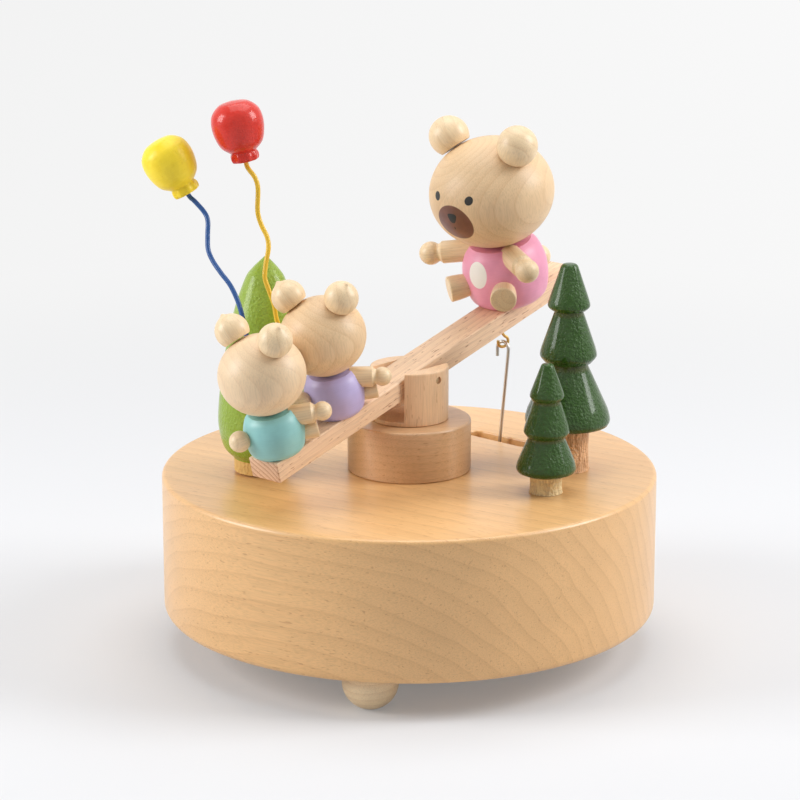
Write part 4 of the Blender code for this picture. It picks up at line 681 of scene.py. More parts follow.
def combine(mesh, other, operation="DIFFERENCE"):
    """One mesh cut by another, or joined to it."""
    item, tool = linked("working", mesh), linked("working", other)
    boolean = item.modifiers.new("cut", "BOOLEAN")
    boolean.operation = operation
    boolean.solver = "EXACT"
    boolean.object = tool
    made = plain_mesh(item)
    bpy.data.objects.remove(tool)
    return made


def mesh_of(shape):
    mesh = bpy.data.meshes.new("working")
    shape.to_mesh(mesh)
    shape.free()
    return mesh


def path_mesh(points):
    mesh = bpy.data.meshes.new("path")
    mesh.from_pydata([tuple(point) for point in points],
                     [(index, index + 1) for index in range(len(points) - 1)], [])
    return mesh


def sweep(centre, radii, start, end, steps):
    """Points on an ellipse in the profile plane, from one angle to another in degrees."""
    points = []
    for step in range(steps + 1):
        angle = math.radians(start + (end - start) * step / steps)
        points.append((centre[0] + radii[0] * math.cos(angle),
                       centre[1] + radii[1] * math.sin(angle)))
    return points


def smooth(knots, steps=8):
    """A smooth curve through the knots of a profile."""
    points = []
    for index in range(len(knots) - 1):
        before, after = knots[max(index - 1, 0)], knots[min(index + 2, len(knots) - 1)]
        first, second = Vector(knots[index]), Vector(knots[index + 1])
        before, after = Vector(before), Vector(after)
        for step in range(steps):
            t = step / steps
            point = 0.5 * (2 * first + (second - before) * t
                           + (2 * before - 5 * first + 4 * second - after) * t ** 2
                           + (3 * first - before - 3 * second + after) * t ** 3)
            points.append((max(point.x, 0.0), point.y))
    return points + [tuple(knots[-1])]


def eased(corners, steps=4):
    """A profile whose corners, given as radius, height and easing, are rounded."""
    points = []
    for index, (radius, height, *ease) in enumerate(corners):
        here = Vector((radius, height))
        if not ease or index in (0, len(corners) - 1):
            points.append((radius, height))
            continue
        before = Vector(corners[index - 1][:2]) - here
        after = Vector(corners[index + 1][:2]) - here
        reach = min(ease[0], before.length * 0.49, after.length * 0.49)
        start, end = here + before.normalized() * reach, here + after.normalized() * reach
        for step in range(steps + 1):
            t = step / steps
            spot = start * (1 - t) ** 2 + here * 2 * t * (1 - t) + end * t ** 2
            points.append(tuple(spot))
    return points


def rod_profile(radius, high, low):
    """The profile of a plain rod or bore."""
    return [(0.0, high), (radius, high), (radius, low), (0.0, low)]


class Maker:
    """Keeps the finishes and trees, and turns meshes into finished pieces."""

    def __init__(self, scene):
        self.sizes = scene.music_box_sizes
        self.finishes = make_finishes(scene.music_box_colours)
        self.turning = turning_tree()
        self.wiring = wire_tree()
        self.copying = copies_tree()

    def turned(self, profile, slot, sides=None, flutes=0, flute_depth=0.0):
        """A turned mesh from a profile in millimetres, with an optional band as third value."""
        points = [(point[0] * MM, point[2] if len(point) > 2 else 0.0, point[1] * MM)
                  for point in profile]
        values = {"Sides": sides or self.sizes.sides, "Flutes": flutes,
                  "Flute Depth": flute_depth, "Finish": self.finishes[slot]}
        return grow(self.turning, path_mesh(points), values)

    def wire(self, points, radius, slot):
        values = {"Radius": radius, "Step": self.sizes.wire_step,
                  "Sides": self.sizes.wire_sides, "Finish": self.finishes[slot]}
        return grow(self.wiring, path_mesh(points), values)

    def copied(self, mesh, spots, slot):
        """Copies of a mesh, one at each spot."""
        model = linked("working", mesh)
        made = grow(self.copying, path_mesh(spots),
                    {"Model": model, "Finish": self.finishes[slot]})
        bpy.data.objects.remove(model)
        return made

    def piece(self, name, mesh, slot, body, nodes, place=None, grain=None, units=MM, sharp=38.0,
              finish=None, pattern=None):
        """Cleans a mesh, sets it in place and makes it stand for its nodes on its body.

        Painted shapes read the pattern's frame and woods the grain's, by default the place itself.
        """
        place = place or Matrix.Identity(4)
        shape = bmesh.new()
        shape.from_mesh(mesh)
        bmesh.ops.remove_doubles(shape, verts=shape.verts, dist=0.000001)
        bmesh.ops.recalc_face_normals(shape, faces=shape.faces)
        shape.to_mesh(mesh)
        shape.free()
        mesh.transform(place)
        self.mark(mesh, "place", pattern or place, units)
        self.mark(mesh, "grain", grain or place, MM)
        mesh.materials.clear()
        mesh.materials.append(self.finishes[finish or slot])
        mesh.shade_smooth()
        mesh.set_sharp_from_angle(angle=math.radians(sharp))
        item = linked(name, mesh)
        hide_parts(*nodes)
        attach(item, body)
        return item

    def mark(self, mesh, name, placed, units):
        """Stores each point's place in a frame, in the given units, as an attribute."""
        back = placed.inverted()
        layer = mesh.attributes.new(name, "FLOAT_VECTOR", "POINT")
        flat = []
        for vertex in mesh.vertices:
            flat.extend((back @ vertex.co) / units)
        layer.data.foreach_set("vector", flat)


MAKERS = []


def maker(context):
    """The one maker of this run."""
    if not MAKERS:
        MAKERS.append(Maker(context.scene))
    return MAKERS[0]


def aligned(start, end):
    """A frame at start whose +Z points to end."""
    start, end = Vector(start), Vector(end)
    turn = (end - start).to_track_quat("Z", "Y").to_matrix().to_4x4()
    return Matrix.Translation(start) @ turn


def pointed(place, spot, direction):
    """A frame at a spot of a place, in millimetres, whose +Z points along a direction there."""
    start = place @ (spot * MM)
    return aligned(start, start + place.to_3x3() @ direction)


def board_grain(direction, normal, centre):
    """A grain frame whose +Z runs along the fibres and whose axis is the tree's heart."""
    along = Vector(direction).normalized()
    out = (Vector(normal) - along * Vector(normal).dot(along)).normalized()
    across = out.cross(along)
    turn = Matrix((out, across, along)).transposed().to_4x4()
    return Matrix.Translation(centre) @ turn


def stadium_tool(centre, half_length, half_width, low, high, flare, steps=16):
    """A slot cutter along Y with a rounded mouth at its top."""
    shape = bmesh.new()
    levels = [(low, 0.0), (high - flare, 0.0)]
    for step in range(1, 7):
        angle = math.pi / 2 * step / 6
        levels.append((high - flare + flare * math.sin(angle), flare * (1 - math.cos(angle))))
    levels.append((high + 2 * MM, flare * 1.02))
    rings = []
    for height, grown in levels:
        ring = []
        for side in (1, -1):
            for step in range(steps + 1):
                angle = math.pi * step / steps
                x = side * (half_width + grown) * math.cos(angle)
                y = side * (half_length - half_width + (half_width + grown) * math.sin(angle))
                ring.append(shape.verts.new((centre + x, y, height)))
        rings.append(ring)
    for lower, upper in zip(rings, rings[1:]):
        for index in range(len(lower)):
            follow = (index + 1) % len(lower)
            shape.faces.new((lower[index], lower[follow], upper[follow], upper[index]))
    shape.faces.new(rings[0][::-1])
    shape.faces.new(rings[-1])
    return mesh_of(shape)


def box_tool(low, high):
    shape = bmesh.new()
    low, high = Vector(low), Vector(high)
    matrix = Matrix.Translation((low + high) / 2) @ Matrix.Diagonal((*(high - low), 1.0))
    bmesh.ops.create_cube(shape, size=1.0, matrix=matrix)
    return mesh_of(shape)


def bear_place(reach, facing=0.0):
    """A bear's frame: it sits on the plank and looks along +X."""
    return (SEESAW @ Matrix.Translation((reach * MM, 0, PLANK_THICKNESS / 2))
            @ Matrix.Rotation(facing, 4, "Z"))


def limb_root(sizes):
    """How far from a bear's axis its limbs start, hidden in the body."""
    return LIMB_ROOT_SHARE * sizes["body"][1]


def limb_frame(place, height, root, spread, drop, side):
    """A limb's frame: it starts at its root and +Z points out of the body."""
    spread, drop = math.radians(spread), math.radians(drop)
    level = Vector((math.cos(spread), side * math.sin(spread), 0.0))
    out = level * math.cos(drop) - Vector((0, 0, math.sin(drop)))
    return pointed(place, level * root + Vector((0, 0, height)), out)


class MakerOperator:
    """What the piece operators share."""
    bl_options = {"REGISTER", "UNDO"}

    def execute(self, context):
        self.make(maker(context))
        return {"FINISHED"}


class MUSICBOX_OT_drum(MakerOperator, bpy.types.Operator):
    """Turn the lacquered drum, its cover board, ball feet and screws"""
    bl_idname = "musicbox.drum"
    bl_label = "Drum"

    def make(self, shop):
        radius, top, bottom = DRUM_HIGH.y / MM, DRUM_TOP / MM, DRUM_BOTTOM / MM
        cover_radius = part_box("bottom_cover")[1].y / MM
        upper, lower, straight = 1.0, 2.0, 8.0
        profile = [(0.0, top)] + [(radius * share, top) for share in (0.2, 0.4, 0.6, 0.8, 0.93)]
        profile += sweep((radius - upper, top - upper), (upper, upper), 90, 0, 8)
        profile += [(radius, top - straight), (radius, (top + bottom) / 2),
                    (radius, bottom + straight)]
        profile += sweep((radius - lower, bottom + lower), (lower, lower), 0, -90, 8)
        rebate, step, soft = cover_radius + 0.3, bottom + 3.3, 0.3
        pocket, ceiling = cover_radius - 4.5, top - 6.5
        profile += eased([(radius - lower, bottom), (rebate, bottom, soft), (rebate, step),
                          (pocket, step, soft), (pocket, ceiling), (0.0, ceiling)])[1:]
        slot = stadium_tool(SLOT_MIDDLE, SLOT_HALF_LENGTH, SLOT_HALF_WIDTH,
                            DRUM_TOP - SLOT_DEPTH, DRUM_TOP, shop.sizes.slot_edge)
        drum = combine(shop.turned(profile, "beech", 192), slot)
        turn, aside, below = math.radians(33), 84 * MM, -26 * MM
        fibre = SCREEN_RIGHT * math.cos(turn) - SCREEN_AWAY * math.sin(turn)
        heart = Vector((fibre.y, -fibre.x, 0.0)) * aside + Vector((0.0, 0.0, below))
        shop.piece("drum", drum, "beech", "base", ["base_drum"],
                   grain=board_grain(fibre, (0, 0, 1), heart), sharp=30.0)
        self.make_cover(shop, cover_radius, bottom)
        self.make_feet(shop)
        self.make_screws(shop)

    def make_cover(self, shop, radius, bottom):
        """The cover board, with a bore for the key and sunk holes for the screws."""
        top = bottom + 3.0
        cover = shop.turned(eased([(0.0, top), (radius, top, 0.2), (radius, bottom, 0.4),
                                   (0.0, bottom)]), "plywood", 128)
        bore = shop.turned(rod_profile(2.3, top + 2.0, bottom - 2.0), "plywood", 32)
        bore.transform(KEY_PLACE)
        cover = combine(cover, bore)
        sink = shop.turned([(0.0, 6.0), (1.05, 6.0), (1.05, 1.1), (1.8, 0.0), (1.8, -1.5),
                            (0.0, -1.5)], "plywood", 32)
        for spot in SCREW_SPOTS:
            tool = sink.copy()
            tool.transform(Matrix.Translation(spot))
            cover = combine(cover, tool)
        shop.piece("cover_board", cover, "plywood", "base", ["bottom_cover"],
                   grain=board_grain((1, 0.3, 0), (0, 0, 1), (0, 0, -120 * MM)))

    def make_feet(self, shop):
        """Flattened balls whose studs sit in the drum, set evenly round a ring."""
        middle, top = middle_of("foot_1"), levels("foot_1")[1]
        radius, flat, stud, seat = 6.35, 0.2, 2.0, DRUM_BOTTOM / MM - 0.02
        centre = radius - flat
        upper = math.degrees(math.asin((seat - centre) / radius))
        lower = -math.degrees(math.asin(centre / radius))
        profile = [(0.0, top), (stud - 0.2, top), (stud, top - 0.2), (stud, seat)]
        profile += sweep((0.0, centre), (radius, radius), upper, lower, 40) + [(0.0, 0.0)]
        spots = [Matrix.Rotation(math.tau * index / shop.sizes.feet, 3, "Z") @ middle
                 for index in range(shop.sizes.feet)]
        feet = shop.copied(shop.turned(profile, "maple", 64), spots, "maple")
        shop.piece("feet", feet, "maple", "base", FEET,
                   grain=board_grain((0.3, 1, 0.1), (0, 0, 1), (-31 * MM, 12 * MM, -24 * MM)))

    def make_screws(self, shop):
        """Slotted countersunk screws with their threads, one at each spot."""
        core, thread, pitch, head, cone = 0.55, 0.75, 0.55, 1.47, 1.1
        profile = [(0.0, 6.4), (0.45, 5.4)]
        for turn in range(7):
            height = 5.2 - turn * pitch
            profile += [(core, height), (thread, height - 0.2), (core, height - 0.4)]
        profile += [(thread, cone), (head, 0.06), (head - 0.05, 0.0), (0.0, 0.0)]
        slot = box_tool((-3 * MM, -0.22 * MM, -1 * MM), (3 * MM, 0.22 * MM, 0.5 * MM))
        screw = combine(shop.turned(profile, "steel", 40), slot)
        screws = shop.copied(screw, SCREW_SPOTS, "steel")
        shop.piece("screws", screws, "steel", "base", SCREWS, sharp=30.0)


class MUSICBOX_OT_post(MakerOperator, bpy.types.Operator):
    """Turn the pedestal and the forked post, and set the pivot pin"""
    bl_idname = "musicbox.post"
    bl_label = "Pedestal And Post"

    def make(self, shop):
        soft = shop.sizes.soft_edge / MM
        disc = self.block(shop, PEDESTAL_HIGH, DRUM_TOP / MM + 0.05, soft * 1.8, soft)
        grain = board_grain(SCREEN_RIGHT + SCREEN_AWAY * 0.3, (0, 0, 1),
                            (6 * MM, -20 * MM, -20 * MM))
        # Finished as the post's wood made darker: painted shade
        shop.piece("pedestal", disc, "dark_beech", "base", ["pedestal_disc"], grain=grain,
                   finish="pedestal_beech")

        post = self.block(shop, POST_HIGH, POST_LOW.z / MM - 0.25, soft * 1.4, soft)
        reach, half = 2 * POST_HIGH.y, 5.2 * MM
        slot = box_tool((-reach, -half, POST_LOW.z + 0.8 * MM), (reach, half, POST_HIGH.z + MM))
        across = aligned(PIVOT, PIVOT + Vector((0, 1, 0)))
        hole = shop.turned(rod_profile(0.85, 20.0, -20.0), "dark_beech", 40)
        hole.transform(across)
        post = combine(combine(post, slot), hole)
        shop.piece("post", post, "dark_beech", "base", ["fulcrum_post"],
                   grain=board_grain((0, 0, 1), (1, 0, 0), (-14 * MM, 9 * MM, 0)), sharp=30.0)

        radius, length = 0.7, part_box("pivot_pin")[1].y / MM
        pin = shop.turned(eased([(0.0, length), (radius, length, 0.25), (radius, -length, 0.25),
                                 (0.0, -length)]), "steel", 48)
        shop.piece("pin", pin, "steel", "base", ["pivot_pin"], across, finish="dull_steel")

    def block(self, shop, high, bottom, upper_edge, lower_edge):
        """A turned block with eased edges, as wide and high as its node."""
        radius, top = high.y / MM, high.z / MM
        return shop.turned(eased([(0.0, top), (radius, top, upper_edge),
                                  (radius, bottom, lower_edge), (0.0, bottom)], 6),
                           "dark_beech", 144)


class MUSICBOX_OT_plank(MakerOperator, bpy.types.Operator):
    """Plane the seesaw plank, and form its screw eye and the wire rod"""
    bl_idname = "musicbox.plank"
    bl_label = "Plank And Rod"

    def make(self, shop):
        plank = box_tool((-PLANK_LOW_END, -PLANK_WIDTH / 2, -PLANK_THICKNESS / 2),
                         (PLANK_HIGH_END, PLANK_WIDTH / 2, PLANK_THICKNESS / 2))
        item = linked("working", plank)
        bevel = item.modifiers.new("edges", "BEVEL")
        bevel.width, bevel.segments = 0.3 * MM, 4
        bore = shop.turned(rod_profile(0.95, 9.0, -9.0), "plank_beech", 40)
        bore.transform(aligned((0, 0, 0), (0, 1, 0)))
        plank = combine(plain_mesh(item), bore)
        turn = SEESAW.to_3x3()
        grain = board_grain(turn @ Vector((1.0, 0.012, 0.008)), turn @ Vector((0, 0, 1)),
                            SEESAW @ Vector((0.0, 13 * MM, -17 * MM)))
        shop.piece("plank", plank, "plank_beech", "seesaw", ["seesaw_plank"], SEESAW, grain,
                   sharp=30.0)
        self.make_eye(shop)
        self.make_rod(shop)

    def make_eye(self, shop):
        """A screw eye: a straight shank that ends in an open ring."""
        place = (SEESAW @ Matrix.Translation((EYE_REACH, 0, -PLANK_THICKNESS / 2 - EYE_DROP))
                 @ Matrix.Rotation(-EYE_TURN, 4, "Z"))
        ring, screwed = 1.35 * MM, 2.8 * MM
        points = [(0.0, 0.0, height) for height in (EYE_DROP + screwed, EYE_DROP, screwed,
                                                    1.9 * ring)]
        points += [(x, 0.0, z) for x, z in sweep((0.0, 0.0), (ring, ring), 60, -210, 27)]
        eye = shop.wire(points, EYE_WIRE, "brass")
        shop.piece("eye", eye, "brass", "seesaw", ["screw_eye"], place, sharp=50.0)

    def make_rod(self, shop):
        """A loop round the crank's pin, a straight shank and a hook through the eye."""
        crank, angle, axis_height = 7.0 * MM, math.radians(30.9), 23.5 * MM
        pin = Vector((EYE.x, crank * math.sin(angle), axis_height + crank * math.cos(angle)))
        hook, loop, wrap, tail = 1.7 * MM, 1.6 * MM, 270, 2.1 * MM
        foot = Vector((EYE.x, -hook, EYE.z - 2.2 * MM))
        run, rise = foot.y - pin.y, foot.z - pin.z
        leave = math.degrees(math.atan2(rise, run) + math.acos(loop / math.hypot(rise, run)))
        points = [(EYE.x, y, z) for y, z in
                  sweep((pin.y, pin.z), (loop, loop), leave + wrap, leave, 27)]
        leaving = Vector(points[-1])
        points += [tuple(leaving.lerp(foot, share)) for share in (0.1, 0.35, 0.65, 0.9, 0.97)]
        points += [(EYE.x, y, z) for y, z in sweep((0.0, EYE.z - hook), (hook, hook), 180, 0, 18)]
        points.append((EYE.x, hook, EYE.z - hook - tail))
        rod = shop.wire(points, ROD_WIRE, "steel")
        shop.piece("rod", rod, "steel", "rod", ["connecting_rod"], sharp=50.0)


class MUSICBOX_OT_bears(MakerOperator, bpy.types.Operator):
    """Turn and paint the three bears"""
    bl_idname = "musicbox.bears"
    bl_label = "Bears"

    def make(self, shop):
        self.make_bear(shop, "big_bear", BIG, bear_place(BIG_REACH, math.pi), "pink_paint")
        self.make_bear(shop, "teal_bear", SMALL, bear_place(TEAL_REACH), "teal_paint")
        self.make_bear(shop, "lilac_bear", SMALL, bear_place(LILAC_REACH), "lilac_paint",
                       LILAC_ARM_DROP, LILAC_HEAD_TURN)

    def make_bear(self, shop, name, sizes, place, shirt, arm_drop=0.0, head_turn=0.0):
        belly = sizes["body"][1]
        self.make_piece(shop, f"{name}_body", self.body_profile(*sizes["body"]), shirt, place,
                        place, belly * MM)
        wide, _, middle = sizes["head"]
        poised = place @ Matrix.Rotation(head_turn, 4, "Z")
        centre = poised @ Matrix.Translation((0, 0, middle * MM))
        grain = centre @ Matrix.Translation((wide * 0.25 * MM, -wide * 0.35 * MM, 0))
        head = self.make_piece(shop, f"{name}_head", self.head_profile(sizes), "bear_wood",
                               poised, grain, wide * MM, centre)
        if name == "teal_bear":
            layer = head.data.attributes.new("pale", "FLOAT", "POINT")
            layer.data.foreach_set("value", [1.0] * len(head.data.vertices))
        for side, word in ((1, "left"), (-1, "right")):
            self.make_ear(shop, f"{name}_ear_{word}", sizes, poised, side)
            self.make_arm(shop, f"{name}_arm_{word}", sizes, place, side, arm_drop)
            self.make_leg(shop, f"{name}_leg_{word}", sizes, place, side)
        radius, height, spread = sizes["tail"]
        tail = limb_frame(place, height, belly - 0.35, spread, 0.0, 1)
        self.make_piece(shop, f"{name}_tail", self.ball_profile(radius, 0.4, 0.0), "maple", tail,
                        tail)

    def make_piece(self, shop, node, profile, slot, place, grain, units=MM, pattern=None):
        return shop.piece(node + "_turned", shop.turned(profile, slot), slot, "seesaw", [node],
                          place, grain, units, pattern=pattern)

    def head_profile(self, sizes):
        """An egg-shaped head that is cut flat on its body."""
        (wide, tall, middle), top = sizes["head"], sizes["body"][3]
        drop = -math.degrees(math.asin(min((middle - top + 0.3) / tall, 0.98)))
        profile = sweep((0.0, middle), (wide, tall), 90, drop, 44)
        rim, level = profile[-1]
        return profile + [(rim - 0.3, level - 0.12), (0.0, level - 0.12)]

    def body_profile(self, neck, belly, foot, top):
        """A barrel body with a full belly and softly eased ends."""
        low, base = 0.06, 0.3
        rise = top - base
        knots = [(neck, top), (neck + 0.55 * (belly - neck), top - 0.12 * rise),
                 (belly * 0.985, top - 0.36 * rise), (belly, base + 0.44 * rise),
                 (belly * 0.96, base + 0.22 * rise),
                 (foot + 0.55 * (belly - foot), base + 0.07 * rise), (foot, low)]
        return [(0.0, top)] + smooth(knots) + [(0.0, low)]

    def ball_profile(self, radius, cut, tip):
        """A ball cut flat below, with a small pointed tip left by the turning if asked."""
        middle = radius - cut
        end = -math.degrees(math.asin(middle / radius))
        if tip:
            blunt = sweep((0.0, middle), (radius, radius), 62, end, 30)
            knots = [(0.0, middle + radius + tip), (0.32, middle + radius + tip * 0.72),
                     (0.75, middle + radius + 0.02), blunt[0]]
            return smooth(knots, 5)[:-1] + blunt + [(0.0, 0.0)]
        return sweep((0.0, middle), (radius, radius), 90, end, 34) + [(0.0, 0.0)]

    def make_ear(self, shop, node, sizes, place, side):
        wide, tall, middle = sizes["head"]
        radius, cut, tip, angle = sizes["ear"]
        angle = math.radians(angle)
        spot = Vector((0.0, side * wide * math.sin(angle), middle + tall * math.cos(angle)))
        normal = Vector((0.0, side * math.sin(angle) / wide, math.cos(angle) / tall))
        normal.normalize()
        ear = pointed(place, spot + normal * 0.1, normal)
        self.make_piece(shop, node, self.ball_profile(radius, cut, tip), "maple", ear,
                        ear @ Matrix.Translation((3 * MM, side * 2 * MM, 0)))

    def make_arm(self, shop, node, sizes, place, side, drop):
        """A round arm with a groove before its ball of a hand."""
        radius, reach, hand, spread, height = sizes["arm"]
        root, groove = limb_root(sizes), 0.55
        wrist = reach - root
        ball = sweep((0.0, wrist), (hand, hand), 90, -38, 26)
        profile = ball + smooth([ball[-1], (radius - groove, wrist - 0.80 * hand),
                                 (radius, wrist - 1.06 * hand)], 5)[1:]
        profile += [(radius, wrist * 0.4), (radius, 0.0), (0.0, 0.0)]
        arm = limb_frame(place, height, root, spread, drop, side)
        self.make_piece(shop, node, profile, "maple", arm,
                        arm @ Matrix.Translation((radius * MM, 2 * MM, 0)))

    def make_leg(self, shop, node, sizes, place, side):
        """A leg that grows to a flat sole with an eased edge."""
        radius, reach, spread, height = sizes["leg"]
        root, edge, lowest = limb_root(sizes), 0.12 * radius, 62
        length = reach - root
        depth = (length - edge) / math.sin(math.radians(lowest))
        sole = sweep((radius - edge, length - edge), (edge, edge), 90, 0, 5)
        cup = sweep((0.0, length - edge), (radius, depth), 0, -lowest, 18)
        profile = [(0.0, length - 0.05), (radius * 0.6, length - 0.03)] + sole + cup[1:]
        profile += [(0.0, profile[-1][1])]
        leg = limb_frame(place, height, root, spread, 0.0, side)
        self.make_piece(shop, node, profile, "maple", leg,
                        leg @ Matrix.Translation((0.5 * radius * MM, 1 * MM, 0)))


class MUSICBOX_OT_trees(MakerOperator, bpy.types.Operator):
    """Turn and lacquer the two pines and the leaf tree"""
    bl_idname = "musicbox.trees"
    bl_label = "Trees"

    def make(self, shop):
        self.make_pine(shop, "large_pine", *LARGE_PINE)
        self.make_pine(shop, "small_pine", *SMALL_PINE)
        self.make_leaf(shop)

    def make_pine(self, shop, name, spot, *shape):
        place = Matrix.Translation((spot[0] * MM, spot[1] * MM, DRUM_TOP))
        pine = shop.turned(self.pine_profile(*shape), "pine_paint")
        shop.piece(name + "_turned", pine, "pine_paint", "base", [name], place, sharp=50.0)

    def make_leaf(self, shop):
        """A tall leaf-shaped tree on a short bare trunk, leaning a little."""
        knots = [(0.4, 50.6), (3.1, 47.8), (4.8, 45.0), (7.2, 37.0), (9.3, 25.0), (10.1, 15.0),
                 (9.9, 10.0), (8.6, 5.6), (6.4, 3.4)]
        trunk, lean = 6.2, math.radians(2.0)
        profile = [(0.0, 50.75)] + smooth(knots)[:-1]
        profile += [(6.4, 3.4, 1.0), (trunk + 0.05, 2.9, BARE), (trunk, 2.2, BARE),
                    (trunk - 0.1, 0.1, BARE), (0.0, 0.1, BARE)]
        spot = Vector((-25.2 * MM, 23.7 * MM, DRUM_TOP + trunk * math.sin(lean) * MM))
        place = Matrix.Translation(spot) @ Matrix.Rotation(lean, 4, (0.75, 0.67, 0.0))
        shop.piece("leaf_tree_turned", shop.turned(profile, "leaf_paint", 128), "leaf_paint",
                   "base", ["leaf_tree"], place, sharp=50.0)

    def pine_profile(self, tiers, neck_share, tip, height, trunk, bark):
        """Stacked cones with rounded skirts; the band is 1 in a neck, and bark on the trunk."""
        points = sweep((tip * 0.45, height - tip * 0.5), (tip * 0.5, tip * 0.5), 90, 20, 6)
        points = [(0.0, height, 0.0)] + [(radius, level, 0.0) for radius, level in points]
        for index, (radius, skirt, under) in enumerate(tiers):
            last = index == len(tiers) - 1
            inner = trunk if last else radius * neck_share
            wide, level = points[-1][:2]
            for share in (0.12, 0.3, 0.5, 0.7, 0.85, 0.95):
                points.append((wide + (radius * 0.965 - wide) * share,
                               level + (skirt + 0.2 * radius - level) * share,
                               0.5 if index and share < 0.2 else 0.0))
            points += [(radius * 0.985, skirt + 0.1 * radius, 0.0), (radius, skirt, 0.0),
                       (radius * 0.99, skirt - 0.05 * radius, 0.0),
                       (radius * 0.95, skirt - 0.12 * radius, 0.1),
                       ((radius * 0.94 + inner) / 2, under + 0.05 * radius, 0.6),
                       (inner * 1.02, under + 0.01 * radius, 1.4 if last else 1.0),
                       (inner, under - 0.03 * radius, bark if last else 1.0)]
        points += [(trunk * 0.965, points[-1][1] * 0.5, bark), (trunk * 1.0, 0.5, bark),
                   (trunk * 1.04, 0.08, bark), (0.0, 0.08, bark)]
        return points


class MUSICBOX_OT_balloons(MakerOperator, bpy.types.Operator):
    """Turn the balloons and form the coated wires that hold them"""
    bl_idname = "musicbox.balloons"
    bl_label = "Balloons And Wires"

    def make(self, shop):
        self.make_balloon(shop, "yellow", "blue_coat", YELLOW_RADIUS, YELLOW_AXIS, BLUE_WIRE,
                          self.hand(TEAL_REACH, 0.0))
        self.make_balloon(shop, "red", "yellow_coat", RED_RADIUS, RED_AXIS, YELLOW_WIRE,
                          self.hand(LILAC_REACH, LILAC_ARM_DROP))

    def hand(self, reach, drop):
        """The middle of a small bear's left hand."""
        _, arm_reach, _, spread, height = SMALL["arm"]
        root = limb_root(SMALL)
        arm = limb_frame(bear_place(reach), height, root, spread, drop, 1)
        return arm @ Vector((0, 0, (arm_reach - root) * MM))

    def make_balloon(self, shop, colour, coat, radius, axis, points, grip):
        """A balloon on its wire, which starts in the hand and ends in the balloon's bore."""
        heading, inside, bore = Vector(axis).normalized(), 0.8 * MM, 2.7 * MM
        mouth = grip + Vector(points[-1]) * MM
        route = [grip + Vector(point) * MM for point in points[:-1]] + [mouth - heading * inside]
        route[0] = grip - (route[1] - route[0]).normalized() * inside
        route.append(mouth + heading * bore)
        wire = shop.wire(route, BALLOON_WIRE, coat)
        shop.piece(f"{colour}_balloon_stem", wire, coat, "seesaw", [f"{colour}_balloon_wire"],
                   sharp=50.0)
        slot = f"{colour}_paint"
        balloon = shop.turned(self.balloon_profile(radius), slot, 108, shop.sizes.knot_flutes, 0.07)
        shop.piece(f"{colour}_balloon_turned", balloon, slot, "seesaw", [f"{colour}_balloon"],
                   aligned(mouth, mouth + heading), sharp=50.0)

    def balloon_profile(self, radius):
        """A squarish balloon over a fluted knot; the band is 1 where the knot is fluted."""
        height, knot, neck = 1.97 * radius, 3.3, 2.2
        knots = [(0.0, height), (0.3 * radius, 0.985 * height), (0.6 * radius, 0.94 * height),
                 (0.9 * radius, 0.79 * height), (radius, 0.58 * height),
                 (0.955 * radius, 0.35 * height), (0.80 * radius, 0.14 * height),
                 (0.9 * knot, 0.0)]
        profile = [(r, z + neck, 0.0) for r, z in smooth(knots)]
        profile += [(0.9 * knot, 0.92 * neck, 0.3), (0.96 * knot, 0.8 * neck, 0.8),
                    (knot, 0.6 * neck, 1.0), (knot, 0.3 * neck, 1.0),
                    (0.95 * knot, 0.08 * neck, 1.0), (0.86 * knot, 0.0, 0.8),
                    (0.62, 0.0, 0.0), (0.58, 0.2, 0.0), (0.58, 2.9, 0.0), (0.0, 2.9, 0.0)]
        return profile


